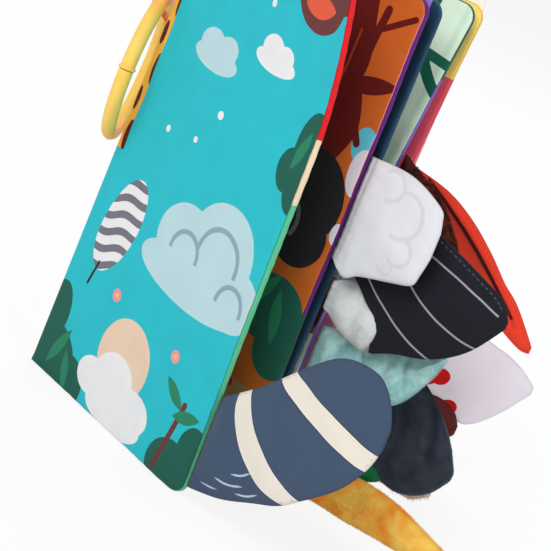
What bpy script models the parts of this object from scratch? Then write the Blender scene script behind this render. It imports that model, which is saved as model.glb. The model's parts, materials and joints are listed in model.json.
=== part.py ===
# Crinkle cloth book: six padded cloth leaves fanned round a sewn spine, cloth and plush tails
# on the fore edges, and a plastic ring hanging from a ribbon loop. Metres, +Z up.
# The origin is the bottom centre of the spine tape; the book stands on the lower edges of its leaves.
import math

import bmesh
import bpy
from mathutils import Matrix, Vector

mm = 0.001

# Leaves: two cloth panels sewn round the edge, with wadding and a crinkle film between them
LEAF_HEIGHT = 240 * mm
LEAF_WIDTH = 125 * mm          # from the hinge line to the fore edge
LEAF_CORNER = 7 * mm           # rounding of the two fore corners
LEAF_EDGE = 3.8 * mm           # thickness at the sewn edge
LEAF_MIDDLE = 4.4 * mm         # thickness at the crown and of the root bead
LEAF_PITCH = 5 * mm            # from one hinge line to the next, along the spine
LEAF_SEAM = 3 * mm             # sewn margin round the pocket
LEAF_CLOTH = 0.8 * mm
LEAF_FILM = 0.4 * mm
SEAT = 0.3 * mm                # clearance between pieces that touch

# The fan at rest, in degrees round the vertical, 0 to the right and negative toward the viewer
SPINE_AZIMUTH = -8
FRONT_SIDE = (("leaf_3", -28), ("leaf_2", -31), ("front_cover", -46))
BACK_SIDE = (("leaf_4", -25), ("leaf_5", -18), ("back_cover", 14))
# Extra turn of each leaf's lower edge, middle and upper edge
TWIST = {
    "front_cover": (2, -0.5, -3),
    "leaf_2": (1, -1.5, -4),
    "leaf_3": (-1, -2.5, -4),
    "leaf_4": (1, -1.5, 9),
    "leaf_5": (-1, -2, 6),
}

# Spine tape, ribbon loop and ring
TAPE_WIDTH = 7 * mm
TAPE_THICK = 1.2 * mm
LOOP_WIDTH = 8 * mm
LOOP_THICK = 1 * mm
LOOP_CLEAR = 1 * mm            # between the ribbon and the ring's tube
LOOP_FOOT = 12 * mm            # length of each sewn end
LOOP_SPREAD = 11 * mm          # height from the ring's axis to the nearer end of a foot
RING_DIAMETER = 75 * mm
RING_TUBE = 7 * mm
RING_OPENING = 1.6 * mm        # slit that lets the ring clip on
RING_OPENING_TURN = -100       # degrees from the top to the slit, on the viewer's side
RING_STEPS = 36
RING_SIDES = 10
LOOP_STEPS = 6
RING_AXIS_HEIGHT = 184 * mm
RING_STAND_OFF = 13 * mm       # from the hinge lines to the middle of the ring's tube
RING_TURN = 6                  # degrees that the ring hangs turned from square to the tape

# Tails: flat ones are two cloth panels with a film, plush ones are stuffed
FLAT_THICK = 2.6 * mm
FLAT_SEAM = 2.4 * mm
PLUSH_BEAD = 4 * mm            # thickness where a plush tail is sewn in
TAIL_COLUMNS = 14
PLUSH_SIDES = 12
SWELL_SHARE = 0.35             # share of a plush tail's reach where it is full
TAPER_SHARE = 0.7              # and where it starts to close
TIP_SHARE = 0.9                # how far it closes

# Tails that share a leaf stand above each other, each at its gap from the one below
GREY_FOOT = 86 * mm
GREY_SEAM = 24 * mm
DARK_GAP = 10 * mm
GREEN_FOOT = 16 * mm
GREEN_SEAM = 23 * mm
FLUKE_GAP = 22 * mm
FLUKE_FOOT = GREEN_FOOT + GREEN_SEAM + FLUKE_GAP
FLUKE_SEAM = 25 * mm
FUR_GAP = 40 * mm
BEIGE_FOOT = 12 * mm
BEIGE_SEAM = 17 * mm
VELVET_GAP = 18 * mm
BROWN_FOOT = 22 * mm
BROWN_SEAM = 24 * mm
FAN_GAP = 22 * mm
FAN_FOOT = BROWN_FOOT + BROWN_SEAM + FAN_GAP
FAN_SEAM = 27 * mm
CRESCENT_GAP = 21 * mm

# Each tail: leaf, height of the foot of its seam, length of the seam, reach, and shares of
# (reach, seam, seam) for its distance from the seam, its lower outline and its upper outline
FLAT_TAILS = {
    "striped_tail": dict(
        leaf="front_cover", foot=6 * mm, seam=45.5 * mm, reach=95 * mm,
        colour=(0.075, 0.117, 0.205),
        outline_shares=((0, 0, 1), (0.211, 0.136, 1.352), (0.421, 0.352, 1.791), (0.563, 0.505, 2.044),
                        (0.684, 0.714, 2.138), (0.821, 0.971, 2.121), (0.905, 1.176, 2.04),
                        (0.968, 1.407, 1.899), (1, 1.626, 1.758))),
    "satin_tail": dict(
        leaf="leaf_2", foot=121 * mm, seam=48.5 * mm, reach=46 * mm,
        colour=(0.77, 0.77, 0.81),
        outline_shares=((0, 0, 1), (0.174, -0.087, 1.021), (0.361, -0.035, 1.031), (0.598, 0.031, 1.004),
                        (0.783, 0.082, 0.938), (0.924, 0.165, 0.856), (1, 0.351, 0.701))),
    "dark_tail": dict(
        leaf="leaf_3", foot=GREY_FOOT + GREY_SEAM + DARK_GAP, seam=35 * mm, reach=85 * mm,
        colour=(0.013, 0.014, 0.023),
        outline_shares=((0, 0, 1), (0.129, -0.114, 1.029), (0.235, -0.306, 1.014), (0.388, -0.529, 0.957),
                        (0.518, -0.68, 0.886), (0.689, -0.529, 0.777), (0.868, -0.166, 0.657),
                        (0.947, 0.1, 0.571), (1, 0.314, 0.4))),
    "crescent_tail": dict(
        leaf="back_cover", foot=FAN_FOOT + FAN_SEAM + CRESCENT_GAP, seam=33.5 * mm, reach=93 * mm,
        colour=(0.83, 0.06, 0.028),
        outline_shares=((0, 0, 1), (0.215, -0.164, 0.83), (0.398, -0.328, 0.552), (0.57, -0.552, 0.179),
                        (0.71, -0.731, -0.179), (0.817, -0.896, -0.409), (0.935, -1.06, -0.761),
                        (1, -1.075, -0.97))),
    "fan_tail": dict(
        leaf="back_cover", foot=FAN_FOOT, seam=FAN_SEAM, reach=103.5 * mm,
        colour=(0.68, 0.63, 0.7),
        outline_shares=((0, 0, 1), (0.232, -0.222, 0.889), (0.425, -0.556, 0.778), (0.531, -0.759, 0.63),
                        (0.638, -0.944, 0.5), (0.725, -1.259, 0.389), (0.812, -1.148, 0.289),
                        (0.899, -0.815, 0.13), (0.957, -0.519, -0.019), (1, -0.296, -0.148))),
}
PLUSH_TAILS = {
    "brown_fur_tail": dict(
        leaf="leaf_4", foot=FLUKE_FOOT + FLUKE_SEAM + FUR_GAP, seam=45 * mm, reach=44 * mm, thick=11 * mm,
        colour=(0.045, 0.01, 0.007),
        outline_shares=((0, 0, 1), (0.341, -0.044, 0.967), (0.636, -0.022, 0.789), (0.852, 0.133, 0.633),
                        (1, 0.267, 0.467))),
    "fluke_tail": dict(
        leaf="leaf_4", foot=FLUKE_FOOT, seam=FLUKE_SEAM, reach=62.5 * mm, thick=12 * mm,
        colour=(0.33, 0.61, 0.58),
        outline_shares=((0, 0, 1), (0.256, 0, 0.96), (0.512, 0.04, 1.08), (0.736, 0.26, 1.32),
                        (0.88, 0.76, 1.48), (0.968, 1.2, 1.58), (1, 1.44, 1.6))),
    "green_tail": dict(
        leaf="leaf_4", foot=GREEN_FOOT, seam=GREEN_SEAM, reach=56 * mm, thick=8 * mm,
        colour=(0.007, 0.156, 0.06),
        outline_shares=((0, 0, 1), (0.304, 0.087, 0.957), (0.643, 0.261, 0.848), (0.893, 0.435, 0.717),
                        (1, 0.543, 0.652))),
    "velvet_tail": dict(
        leaf="leaf_5", foot=BEIGE_FOOT + BEIGE_SEAM + VELVET_GAP, seam=18 * mm, reach=77.5 * mm, thick=12 * mm,
        colour=(0.06, 0.08, 0.11),
        outline_shares=((0, 0, 1), (0.258, -0.25, 1.389), (0.439, -0.667, 1.722), (0.587, -1, 1.833),
                        (0.71, -1.111, 1.556), (0.826, -0.972, 1.111), (0.916, -0.694, 0.667),
                        (0.981, -0.278, 0.222), (1, -0.111, 0.056))),
    "beige_fur_tail": dict(
        leaf="leaf_5", foot=BEIGE_FOOT, seam=BEIGE_SEAM, reach=74 * mm, thick=8 * mm,
        colour=(0.61, 0.46, 0.35),
        outline_shares=((0, 0, 1), (0.243, 0.029, 0.882), (0.419, 0.088, 0.765), (0.595, 0.147, 0.735),
                        (0.784, 0.265, 0.765), (0.932, 0.412, 0.853), (1, 0.559, 0.765))),
    "brown_tail": dict(
        leaf="back_cover", foot=BROWN_FOOT, seam=BROWN_SEAM, reach=79 * mm, thick=9 * mm,
        colour=(0.114, 0.021, 0.021),
        outline_shares=((0, 0, 1), (0.304, -0.104, 0.896), (0.595, -0.083, 0.792), (0.835, 0.021, 0.625),
                        (0.949, 0.104, 0.375), (1, 0.188, 0.271))),
    "grey_tail": dict(
        leaf="leaf_3", foot=GREY_FOOT, seam=GREY_SEAM, reach=34 * mm, thick=9 * mm,
        colour=(0.58, 0.61, 0.61),
        outline_shares=((0, 0, 1), (0.412, 0.083, 0.896), (0.706, 0.104, 0.625), (0.912, 0.208, 0.438),
                        (1, 0.271, 0.354))),
    "orange_tail": dict(
        leaf="leaf_2", foot=9 * mm, seam=20 * mm, reach=131 * mm, thick=13 * mm,
        colour=(0.83, 0.3, 0.02),
        outline_shares=((0, 0, 1), (0.198, 0.25, 1.2), (0.351, 0.525, 1.525), (0.489, 0.625, 1.52),
                        (0.588, 0.675, 1.495), (0.695, 0.7, 1.39), (0.794, 0.675, 1.255),
                        (0.916, 0.55, 1.1), (0.977, 0.575, 0.975), (1, 0.7, 0.85))),
}

CLOTH_COLOURS = {
    "front_cover": ((0.02, 0.5, 0.58), (0.1, 0.52, 0.3)),
    "leaf_2": ((0.5, 0.1, 0.013), (0.1, 0.007, 0.16)),
    "leaf_3": ((0.3, 0.22, 0.64), (0.021, 0.04, 0.08)),
    "leaf_4": ((0.43, 0.61, 0.46), (0.01, 0.09, 0.07)),
    "leaf_5": ((0.83, 0.58, 0.13), (0.68, 0.06, 0.1)),
    "back_cover": ((0.83, 0.22, 0.3), (0.02, 0.5, 0.58)),
}


def material(name, colour, roughness=0.85, metallic=0.0):
    made = bpy.data.materials.new(name)
    made.use_nodes = True
    shader = made.node_tree.nodes["Principled BSDF"]
    shader.inputs["Base Color"].default_value = (*colour, 1)
    shader.inputs["Roughness"].default_value = roughness
    shader.inputs["Metallic"].default_value = metallic
    return made


def empty(name, parent=None, matrix=Matrix()):
    made = bpy.data.objects.new(name, None)
    bpy.context.collection.objects.link(made)
    made.empty_display_size = LEAF_PITCH
    made.parent = parent
    made.matrix_local = matrix
    return made


def node(name, shape, parent, colour, roughness=0.85):
    # one closed mesh from a bmesh, with its doubles merged and its faces pointing out
    bmesh.ops.remove_doubles(shape, verts=shape.verts, dist=SEAT / 30)
    bmesh.ops.triangulate(shape, faces=shape.faces, quad_method='FIXED')
    bmesh.ops.recalc_face_normals(shape, faces=shape.faces)
    mesh = bpy.data.meshes.new(name)
    shape.to_mesh(mesh)
    shape.free()
    mesh.shade_smooth()
    mesh.set_sharp_from_angle(angle=math.radians(35))
    made = bpy.data.objects.new(name, mesh)
    bpy.context.collection.objects.link(made)
    made.parent = parent
    made.data.materials.append(material(name, colour, roughness))
    return made


def blend(a, b, t):
    return a + (b - a) * t


def smooth_table(rows, count):
    # a Catmull-Rom curve through the rows, read at evenly spaced places
    table = []
    for step in range(count):
        place = step * (len(rows) - 1) / (count - 1)
        i = min(int(place), len(rows) - 2)
        t = place - i
        p = [rows[max(0, min(len(rows) - 1, i + k))] for k in (-1, 0, 1, 2)]
        table.append(tuple(
            0.5 * (2 * b + (c - a) * t + (2 * a - 5 * b + 4 * c - d) * t * t + (3 * b - a - 3 * c + d) * t ** 3)
            for a, b, c, d in zip(*p)))
    return table


# A grid solid spans columns (distance from the hinge line, lowest, highest) and rows of heights,
# between two surfaces given as offsets along the thickness
def grid_solid(columns, rows, near, far, place):
    shape = bmesh.new()
    faces = []
    for surface in (near, far):
        faces.append([[shape.verts.new(place(x, z, surface(i, j, x, z))) for j, z in enumerate(rows(x, low, high))]
                      for i, (x, low, high) in enumerate(columns)])
    last_column = len(columns) - 1
    last_row = len(faces[0][0]) - 1
    for grid in faces:
        for i in range(last_column):
            for j in range(last_row):
                shape.faces.new((grid[i][j], grid[i + 1][j], grid[i + 1][j + 1], grid[i][j + 1]))
    border = [(i, 0) for i in range(last_column)] + [(last_column, j) for j in range(last_row)]
    border += [(i, last_row) for i in range(last_column, 0, -1)] + [(0, j) for j in range(last_row, 0, -1)]
    for k, (i, j) in enumerate(border):
        m, n = border[(k + 1) % len(border)]
        shape.faces.new((faces[0][i][j], faces[0][m][n], faces[1][m][n], faces[1][i][j]))
    return shape


# A cloth panel is a tray: a round half bead at the root, a sewn rim at the parting and a pocket inside.
# Columns and rows come in pairs at the pocket's walls.
def panel(side, bead, columns, rows, pocket_columns, pocket_rows, half, cloth, place):
    def near(i, j, x, z):
        return side * (math.sqrt(max(bead ** 2 - x ** 2, (SEAT / 2) ** 2)) if x <= 0 else half(x, z))

    def far(i, j, x, z):
        inside = pocket_columns[0] <= i <= pocket_columns[1] and pocket_rows[0] <= j <= pocket_rows[1]
        return side * (half(x, z) - cloth if inside else SEAT / 2)

    return grid_solid(columns, rows, near, far, place)


def bead_columns(bead, low, high):
    back = math.sqrt(bead ** 2 - (SEAT / 2) ** 2)
    return [(-back, low, high), (-back * math.sqrt(0.75), low, high), (-back / 2, low, high), (0, low, high)]


def corner_inset(x):
    past = max(0, x - (LEAF_WIDTH - LEAF_CORNER))
    return LEAF_CORNER - math.sqrt(max(0, LEAF_CORNER ** 2 - past ** 2))


def twist_at(leaf, z):
    low, middle, high = TWIST.get(leaf, (0, 0, 0))
    share = z / LEAF_HEIGHT
    turn = low * (2 * share - 1) * (share - 1) - middle * 4 * share * (share - 1) + high * share * (2 * share - 1)
    return math.radians(turn)


def leaf_place(leaf):
    def place(x, z, offset):
        turn = twist_at(leaf, z)
        return Vector((x * math.cos(turn) - offset * math.sin(turn), x * math.sin(turn) + offset * math.cos(turn), z))
    return place


def leaf_half(x, z):
    across = 1 - (2 * x / LEAF_WIDTH - 1) ** 2
    along = 1 - (2 * z / LEAF_HEIGHT - 1) ** 2
    return blend(LEAF_EDGE, LEAF_MIDDLE, math.sqrt(max(0, across * along))) / 2


def leaf_columns(places):
    return [(x, corner_inset(x), LEAF_HEIGHT - corner_inset(x)) for x in places]


def make_leaf(leaf, hinge):
    place = leaf_place(leaf)
    bead = LEAF_MIDDLE / 2
    start = bead + LEAF_SEAM
    end = LEAF_WIDTH - LEAF_SEAM
    third = (end - start) / 3
    inner_places = [start, start + third, end - third, LEAF_WIDTH - LEAF_CORNER, end]
    columns = bead_columns(bead, 0, LEAF_HEIGHT) + leaf_columns([start] + inner_places + [end, LEAF_WIDTH])
    steps = 6

    def heights(low, high, margin):
        return [blend(low + margin, high - margin, k / steps) for k in range(steps + 1)]

    def rows(x, low, high):
        inner = heights(low, high, LEAF_SEAM)
        return [low, inner[0]] + inner + [inner[-1], high]

    colours = CLOTH_COLOURS[leaf]
    for side, word, colour in ((-1, "front_cloth", colours[0]), (1, "back_cloth", colours[1])):
        shape = panel(side, bead, columns, rows, (5, 9), (2, steps + 2), leaf_half, LEAF_CLOTH, place)
        node(f"{leaf}_{word}", shape, hinge, colour)

    filling = leaf_columns([start + SEAT] + inner_places[1:-1] + [end - SEAT])

    def filling_rows(x, low, high):
        return heights(low, high, LEAF_SEAM + SEAT)

    def film_top(i, j, x, z):
        return leaf_half(x, z) - LEAF_CLOTH - SEAT

    def film_bottom(i, j, x, z):
        return film_top(i, j, x, z) - LEAF_FILM

    def wadding_top(i, j, x, z):
        return film_bottom(i, j, x, z) - SEAT

    def wadding_bottom(i, j, x, z):
        return LEAF_CLOTH + SEAT - leaf_half(x, z)

    film = grid_solid(filling, filling_rows, film_top, film_bottom, place)
    node(f"{leaf}_crinkle_film", film, hinge, (0.8, 0.82, 0.84), 0.3)
    wadding = grid_solid(filling, filling_rows, wadding_top, wadding_bottom, place)
    node(f"{leaf}_wadding", wadding, hinge, (0.85, 0.85, 0.83))


# A tail's frame stands on the fore edge of its leaf: X outward, Z along its seam
def tail_hinge(name, leaf, leaf_hinge, foot, seam, bead):
    place = leaf_place(leaf)
    reach = LEAF_WIDTH + SEAT + bead
    low = place(reach, foot, 0)
    high = place(reach, foot + seam, 0)
    up = (high - low).normalized()
    out = (place(reach, foot + seam / 2, 0) - place(0, foot + seam / 2, 0)).normalized()
    across = up.cross(out).normalized()
    out = across.cross(up)
    frame = Matrix((out, across, up)).transposed().to_4x4()
    frame.translation = (low + high) / 2
    return empty(f"hinge_{name}", leaf_hinge, frame)


def tail_columns(shares, reach, seam, count):
    columns = []
    for along, low, high in smooth_table(shares, count):
        columns.append((along * reach, (low - 0.5) * seam, (high - 0.5) * seam))
    return columns


def make_flat_tail(name, leaf, foot, seam, reach, colour, outline_shares, leaf_hinge):
    bead = FLAT_THICK / 2
    cloth = (FLAT_THICK - 2 * SEAT - LEAF_FILM) / 2
    hinge = tail_hinge(name, leaf, leaf_hinge, foot, seam, bead)
    outline = tail_columns(outline_shares, reach, seam, TAIL_COLUMNS)
    first = bead + FLAT_SEAM

    def at(x):
        for (x0, low0, high0), (x1, low1, high1) in zip(outline, outline[1:]):
            if x <= x1:
                t = (x - x0) / (x1 - x0)
                return (x, blend(low0, low1, t), blend(high0, high1, t))
        return outline[-1]

    pocket = [at(first)] + [c for c in outline if first + SEAT * 2 < c[0] < reach - FLAT_SEAM - SEAT * 2]
    pocket.append(at(reach - FLAT_SEAM))
    tip = [c for c in outline if c[0] > reach - FLAT_SEAM + SEAT]
    columns = bead_columns(bead, -seam / 2, seam / 2) + [pocket[0]] + pocket + [pocket[-1]] + tip
    half_shares = (0, 1 / 3, 2 / 3, 1)

    def inner_rows(low, high, margin):
        margin = min(margin, (high - low) * 0.3)
        return [blend(low + margin, high - margin, t) for t in half_shares]

    def rows(x, low, high):
        inner = inner_rows(low, high, FLAT_SEAM)
        return [low, inner[0]] + inner + [inner[-1], high]

    def half(x, z):
        return bead

    def place(x, z, offset):
        return Vector((x, offset, z))

    pocket_columns = (5, 4 + len(pocket))
    for side, word in ((-1, "front_cloth"), (1, "back_cloth")):
        shape = panel(side, bead, columns, rows, pocket_columns, (2, 5), half, cloth, place)
        node(f"{name}_{word}", shape, hinge, colour)

    filling = [at(first + SEAT)] + pocket[1:-1] + [at(reach - FLAT_SEAM - SEAT)]

    def film_rows(x, low, high):
        return inner_rows(low, high, FLAT_SEAM + SEAT)

    film = grid_solid(filling, film_rows, lambda i, j, x, z: -LEAF_FILM / 2, lambda i, j, x, z: LEAF_FILM / 2, place)
    node(f"{name}_crinkle_film", film, hinge, (0.8, 0.82, 0.84), 0.3)


# Joins sections, each a ring of as many vertices, into a closed tube
def close_tube(shape, sections):
    for near, far in zip(sections, sections[1:]):
        for k in range(len(near)):
            following = (k + 1) % len(near)
            shape.faces.new((near[k], near[following], far[following], far[k]))
    shape.faces.new(sections[0])
    shape.faces.new(sections[-1])


# A plush tail swells from its sewn bead to full thickness and closes in a round tip
def make_plush_tail(name, leaf, foot, seam, reach, thick, colour, outline_shares, leaf_hinge):
    bead = PLUSH_BEAD / 2
    hinge = tail_hinge(name, leaf, leaf_hinge, foot, seam, bead)
    sizes = []
    for x, low, high in bead_columns(bead, -seam / 2, seam / 2)[1:]:
        sizes.append((x, low, high, math.sqrt(bead ** 2 - x ** 2)))
    for x, low, high in tail_columns(outline_shares, reach, seam, TAIL_COLUMNS)[1:]:
        share = x / reach
        rise = min(1, share / SWELL_SHARE)
        fall = max(0, share - TAPER_SHARE) / (1 - TAPER_SHARE)
        half = blend(bead, thick / 2, rise * rise * (3 - 2 * rise)) * math.sqrt(1 - (fall * TIP_SHARE) ** 2)
        sizes.append((x, low, high, half))
    shape = bmesh.new()
    sections = []
    for x, low, high, half in sizes:
        section = []
        for k in range(PLUSH_SIDES):
            turn = 2 * math.pi * k / PLUSH_SIDES
            height = (low + high) / 2 + (high - low) / 2 * math.sin(turn)
            section.append(shape.verts.new((x, half * math.cos(turn), height)))
        sections.append(section)
    close_tube(shape, sections)
    node(name, shape, hinge, colour, 0.95)


# The ribbon loop, in a plane across the tape: its ends are sewn on the tape above and below the ring's tube
def make_loop(spine, tape_back):
    middle = RING_TUBE / 2 + LOOP_CLEAR + LOOP_THICK / 2
    depth = tape_back + SEAT + LOOP_THICK / 2
    reach = Vector((depth - RING_STAND_OFF, LOOP_SPREAD))
    tangent = math.atan2(reach.y, reach.x) - math.acos(middle / reach.length)
    path = [Vector((depth, LOOP_SPREAD + LOOP_FOOT)), Vector((depth, LOOP_SPREAD))]
    for k in range(LOOP_STEPS + 1):
        turn = tangent * (1 - 2 * k / LOOP_STEPS)
        path.append(Vector((RING_STAND_OFF + middle * math.cos(turn), middle * math.sin(turn))))
    path += [Vector((depth, -LOOP_SPREAD)), Vector((depth, -LOOP_SPREAD - LOOP_FOOT))]
    shape = bmesh.new()
    sections = []
    for k, point in enumerate(path):
        before = (point - path[max(0, k - 1)]).normalized()
        after = (path[min(len(path) - 1, k + 1)] - point).normalized()
        along = (before + after).normalized()
        normal = Vector((-along.y, along.x)) * LOOP_THICK / 2 / max(along.dot(before), along.dot(after))
        section = []
        for side, across in ((1, -1), (1, 1), (-1, 1), (-1, -1)):
            at = point + normal * side
            section.append(shape.verts.new((-at.x, across * LOOP_WIDTH / 2, RING_AXIS_HEIGHT + at.y)))
        sections.append(section)
    close_tube(shape, sections)
    node("ring_loop", shape, spine, (0.75, 0.25, 0.03))


# The ring is a round tube, open at a narrow slit on the viewer's side
def make_ring(spine):
    tube = RING_TUBE / 2
    radius = RING_DIAMETER / 2 - tube
    turned = Matrix.Rotation(math.radians(RING_TURN), 4, "Z")
    hinge = empty("hinge_ring", spine, Matrix.Translation((-RING_STAND_OFF, 0, RING_AXIS_HEIGHT)) @ turned)
    slit = RING_OPENING / radius
    start = math.radians(RING_OPENING_TURN) + slit / 2
    shape = bmesh.new()
    sections = []
    for k in range(RING_STEPS + 1):
        turn = start + (2 * math.pi - slit) * k / RING_STEPS
        section = []
        for side in range(RING_SIDES):
            angle = 2 * math.pi * side / RING_SIDES
            away = radius + tube * math.cos(angle)
            section.append(shape.verts.new(
                (tube * math.sin(angle), away * math.sin(turn), away * math.cos(turn) - radius)))
        sections.append(section)
    close_tube(shape, sections)
    node("ring", shape, hinge, (0.91, 0.6, 0.13), 0.35)


def main():
    for made in list(bpy.data.objects):
        bpy.data.objects.remove(made, do_unlink=True)
    for made in list(bpy.data.meshes):
        bpy.data.meshes.remove(made)

    # the spine's frame looks along the middle of the fan; the tape lies behind the hinge lines
    tape_front = LEAF_MIDDLE / 2 + SEAT
    tape_back = tape_front + TAPE_THICK
    turn = Matrix.Rotation(math.radians(SPINE_AZIMUTH), 4, "Z")
    spine = empty("spine", None, turn @ Matrix.Translation(((tape_front + tape_back) / 2, 0, 0)))

    tape = bmesh.new()
    bmesh.ops.create_cube(tape, size=1)
    bmesh.ops.scale(tape, vec=(TAPE_THICK, TAPE_WIDTH, LEAF_HEIGHT), verts=tape.verts)
    bmesh.ops.translate(tape, vec=(-(tape_front + tape_back) / 2, 0, LEAF_HEIGHT / 2), verts=tape.verts)
    node("spine_tape", tape, spine, (0.83, 0.55, 0.11))
    make_loop(spine, tape_back)
    make_ring(spine)

    hinges = {}
    for side, chain in ((-1, FRONT_SIDE), (1, BACK_SIDE)):
        parent, azimuth, step = spine, SPINE_AZIMUTH, LEAF_PITCH / 2
        for leaf, heading in chain:
            frame = Matrix.Translation((0, side * step, 0)) @ Matrix.Rotation(math.radians(heading - azimuth), 4, "Z")
            hinges[leaf] = empty(f"hinge_{leaf}", parent, frame)
            make_leaf(leaf, hinges[leaf])
            parent, azimuth, step = hinges[leaf], heading, LEAF_PITCH

    for name, tail in FLAT_TAILS.items():
        make_flat_tail(name, leaf_hinge=hinges[tail["leaf"]], **tail)
    for name, tail in PLUSH_TAILS.items():
        make_plush_tail(name, leaf_hinge=hinges[tail["leaf"]], **tail)


main()
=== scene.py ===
# Crinkle cloth book: padded leaves on a sewn spine, tails on the fore edges, a ring on a ribbon loop
import json
import math

import bmesh
import bpy
import numpy as np
from mathutils import Matrix, Vector


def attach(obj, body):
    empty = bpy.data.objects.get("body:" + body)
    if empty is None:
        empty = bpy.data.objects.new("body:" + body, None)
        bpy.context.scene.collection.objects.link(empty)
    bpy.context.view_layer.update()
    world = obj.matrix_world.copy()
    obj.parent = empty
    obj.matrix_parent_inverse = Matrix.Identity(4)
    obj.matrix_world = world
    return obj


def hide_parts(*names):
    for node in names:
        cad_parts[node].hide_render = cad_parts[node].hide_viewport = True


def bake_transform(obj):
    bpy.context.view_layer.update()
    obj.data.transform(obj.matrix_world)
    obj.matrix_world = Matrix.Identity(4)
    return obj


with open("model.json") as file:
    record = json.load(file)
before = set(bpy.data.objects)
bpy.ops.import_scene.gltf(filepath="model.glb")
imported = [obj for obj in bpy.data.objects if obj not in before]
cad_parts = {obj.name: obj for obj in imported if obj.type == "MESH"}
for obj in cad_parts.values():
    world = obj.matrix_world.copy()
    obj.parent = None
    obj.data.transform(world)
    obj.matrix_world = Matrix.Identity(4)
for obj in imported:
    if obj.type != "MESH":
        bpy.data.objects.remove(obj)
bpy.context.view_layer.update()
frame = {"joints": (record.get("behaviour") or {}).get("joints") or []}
bpy.ops.object.select_all(action="DESELECT")
mm = 0.001

# Camera, as fitted to the photograph
view = dict(elevation=15.17, roll=23.22, distance=1.00048, lens=137.84, target=(0.08733, 0.0, 0.08298))

# The six leaves: heading of each leaf and the extra turn of its lower edge, middle and upper edge, in degrees
leafSize = dict(height=240 * mm, width=125 * mm, corner=7 * mm, edge=3.8 * mm, middle=4.4 * mm,
                rim=2.5 * mm, across=84, along=150)
leaves = {
    "front_cover": dict(heading=-46, twist=(2, -0.5, -3), seed=3, puff=1.0, wave=0.6, curl=-12, dent=0.85),
    "leaf_2": dict(heading=-31, twist=(1, -1.5, -4), seed=7, puff=0.7, wave=0.5),
    "leaf_3": dict(heading=-28, twist=(-1, -2.5, -4), seed=11, puff=0.35, wave=0.5),
    "leaf_4": dict(heading=-25, twist=(1, -1.5, 9), seed=19, puff=0.55, wave=1.3),
    "leaf_5": dict(heading=-18, twist=(-1, -2, 6), seed=23, puff=0.8, wave=0.8),
    "back_cover": dict(heading=14, twist=(0, 0, 0), seed=31, puff=1.0, wave=0.8),
}
hinges = {joint["child"]: Vector(joint["pos_m"]) for joint in frame["joints"]}
spineTurn = -8
spineFoot = Vector((3.07 * mm, -0.43 * mm, 0))


def placeCamera():
    # looks along +Y, raised, and rolled so that the book leans in the frame as in the photograph
    lift = math.radians(view["elevation"])
    roll = math.radians(view["roll"])
    back = Vector((0, -math.cos(lift), math.sin(lift)))
    right = Vector((1, 0, 0))
    up = right.cross(-back)
    data = bpy.data.cameras.new("bookCamera")
    data.lens = view["lens"]
    data.sensor_width = 36
    data.clip_start = 0.05
    data.clip_end = 20
    camera = bpy.data.objects.new("bookCamera", data)
    bpy.context.scene.collection.objects.link(camera)
    across = right * math.cos(roll) + up * math.sin(roll)
    upward = up * math.cos(roll) - right * math.sin(roll)
    turned = Matrix((across, upward, back)).transposed().to_4x4()
    turned.translation = Vector(view["target"]) + back * view["distance"]
    camera.matrix_world = turned
    bpy.context.scene.camera = camera


# Materials: a few words for adding and joining nodes
def paint(red, green, blue):
    def flat(value):
        value /= 255
        return value / 12.92 if value <= 0.04045 else ((value + 0.055) / 1.055) ** 2.4
    return (flat(red), flat(green), flat(blue), 1)


def startFinish(name):
    made = bpy.data.materials.new(name)
    made.use_nodes = True
    return made, made.node_tree, made.node_tree.nodes["Principled BSDF"]


def add(tree, kind, feeds=None, **settings):
    made = tree.nodes.new(kind)
    for word, value in settings.items():
        setattr(made, word, value)
    for socket, value in (feeds or {}).items():
        give(tree, made.inputs[socket], value)
    return made


def give(tree, socket, value):
    if isinstance(value, bpy.types.NodeSocket):
        tree.links.new(value, socket)
    else:
        socket.default_value = value


def sums(tree, operation, first, second=None, third=None):
    feeds = {k: v for k, v in enumerate((first, second, third)) if v is not None}
    return add(tree, "ShaderNodeMath", feeds, operation=operation).outputs[0]


def vectorSums(tree, operation, first, second=None):
    feeds = {0: first} if second is None else {0: first, 1: second}
    made = add(tree, "ShaderNodeVectorMath", feeds, operation=operation)
    return made.outputs["Value" if operation in ("LENGTH", "DISTANCE", "DOT_PRODUCT") else "Vector"]


def mixPaint(tree, share, under, over):
    made = add(tree, "ShaderNodeMix", data_type="RGBA")
    give(tree, made.inputs["Factor"], share)
    give(tree, made.inputs[6], under)
    give(tree, made.inputs[7], over)
    return made.outputs[2]


def noise(tree, place, scale, detail, **more):
    feeds = {"Vector": place, "Scale": scale, "Detail": detail, **more}
    return add(tree, "ShaderNodeTexNoise", feeds).outputs["Fac"]


def ribbed(tree, place, scale, turn, **more):
    feeds = {"Vector": moved(tree, place, 0, 0, turn=turn), "Scale": scale, **more}
    return add(tree, "ShaderNodeTexWave", feeds).outputs["Fac"]


def ramp(tree, value, low, high, start=0.0, end=1.0):
    feeds = {"Value": value, "From Min": low, "From Max": high, "To Min": start, "To Max": end}
    return add(tree, "ShaderNodeMapRange", feeds).outputs[0]


def axis(tree, place, letter):
    return add(tree, "ShaderNodeSeparateXYZ", {0: place}).outputs[letter]


def noted(tree, word):
    return add(tree, "ShaderNodeAttribute", attribute_name=word)


def printPlace(tree):
    return noted(tree, "printPlace").outputs["Vector"]


def seamLight(tree, depth):
    # painted shade: 1 on open cloth, and less by depth where seamShade is painted in seams, grooves, folds
    # and at pile roots
    return sums(tree, "SUBTRACT", 1, sums(tree, "MULTIPLY", noted(tree, "seamShade").outputs["Fac"], depth))


def tint(tree, shader, colour, light):
    # the colour, one of its own or painted by nodes, times the light
    made = add(tree, "ShaderNodeVectorMath", operation="SCALE")
    give(tree, made.inputs[0], colour[:3] if isinstance(colour, tuple) else colour)
    give(tree, made.inputs["Scale"], light)
    give(tree, shader.inputs["Base Color"], made.outputs["Vector"])


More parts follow.
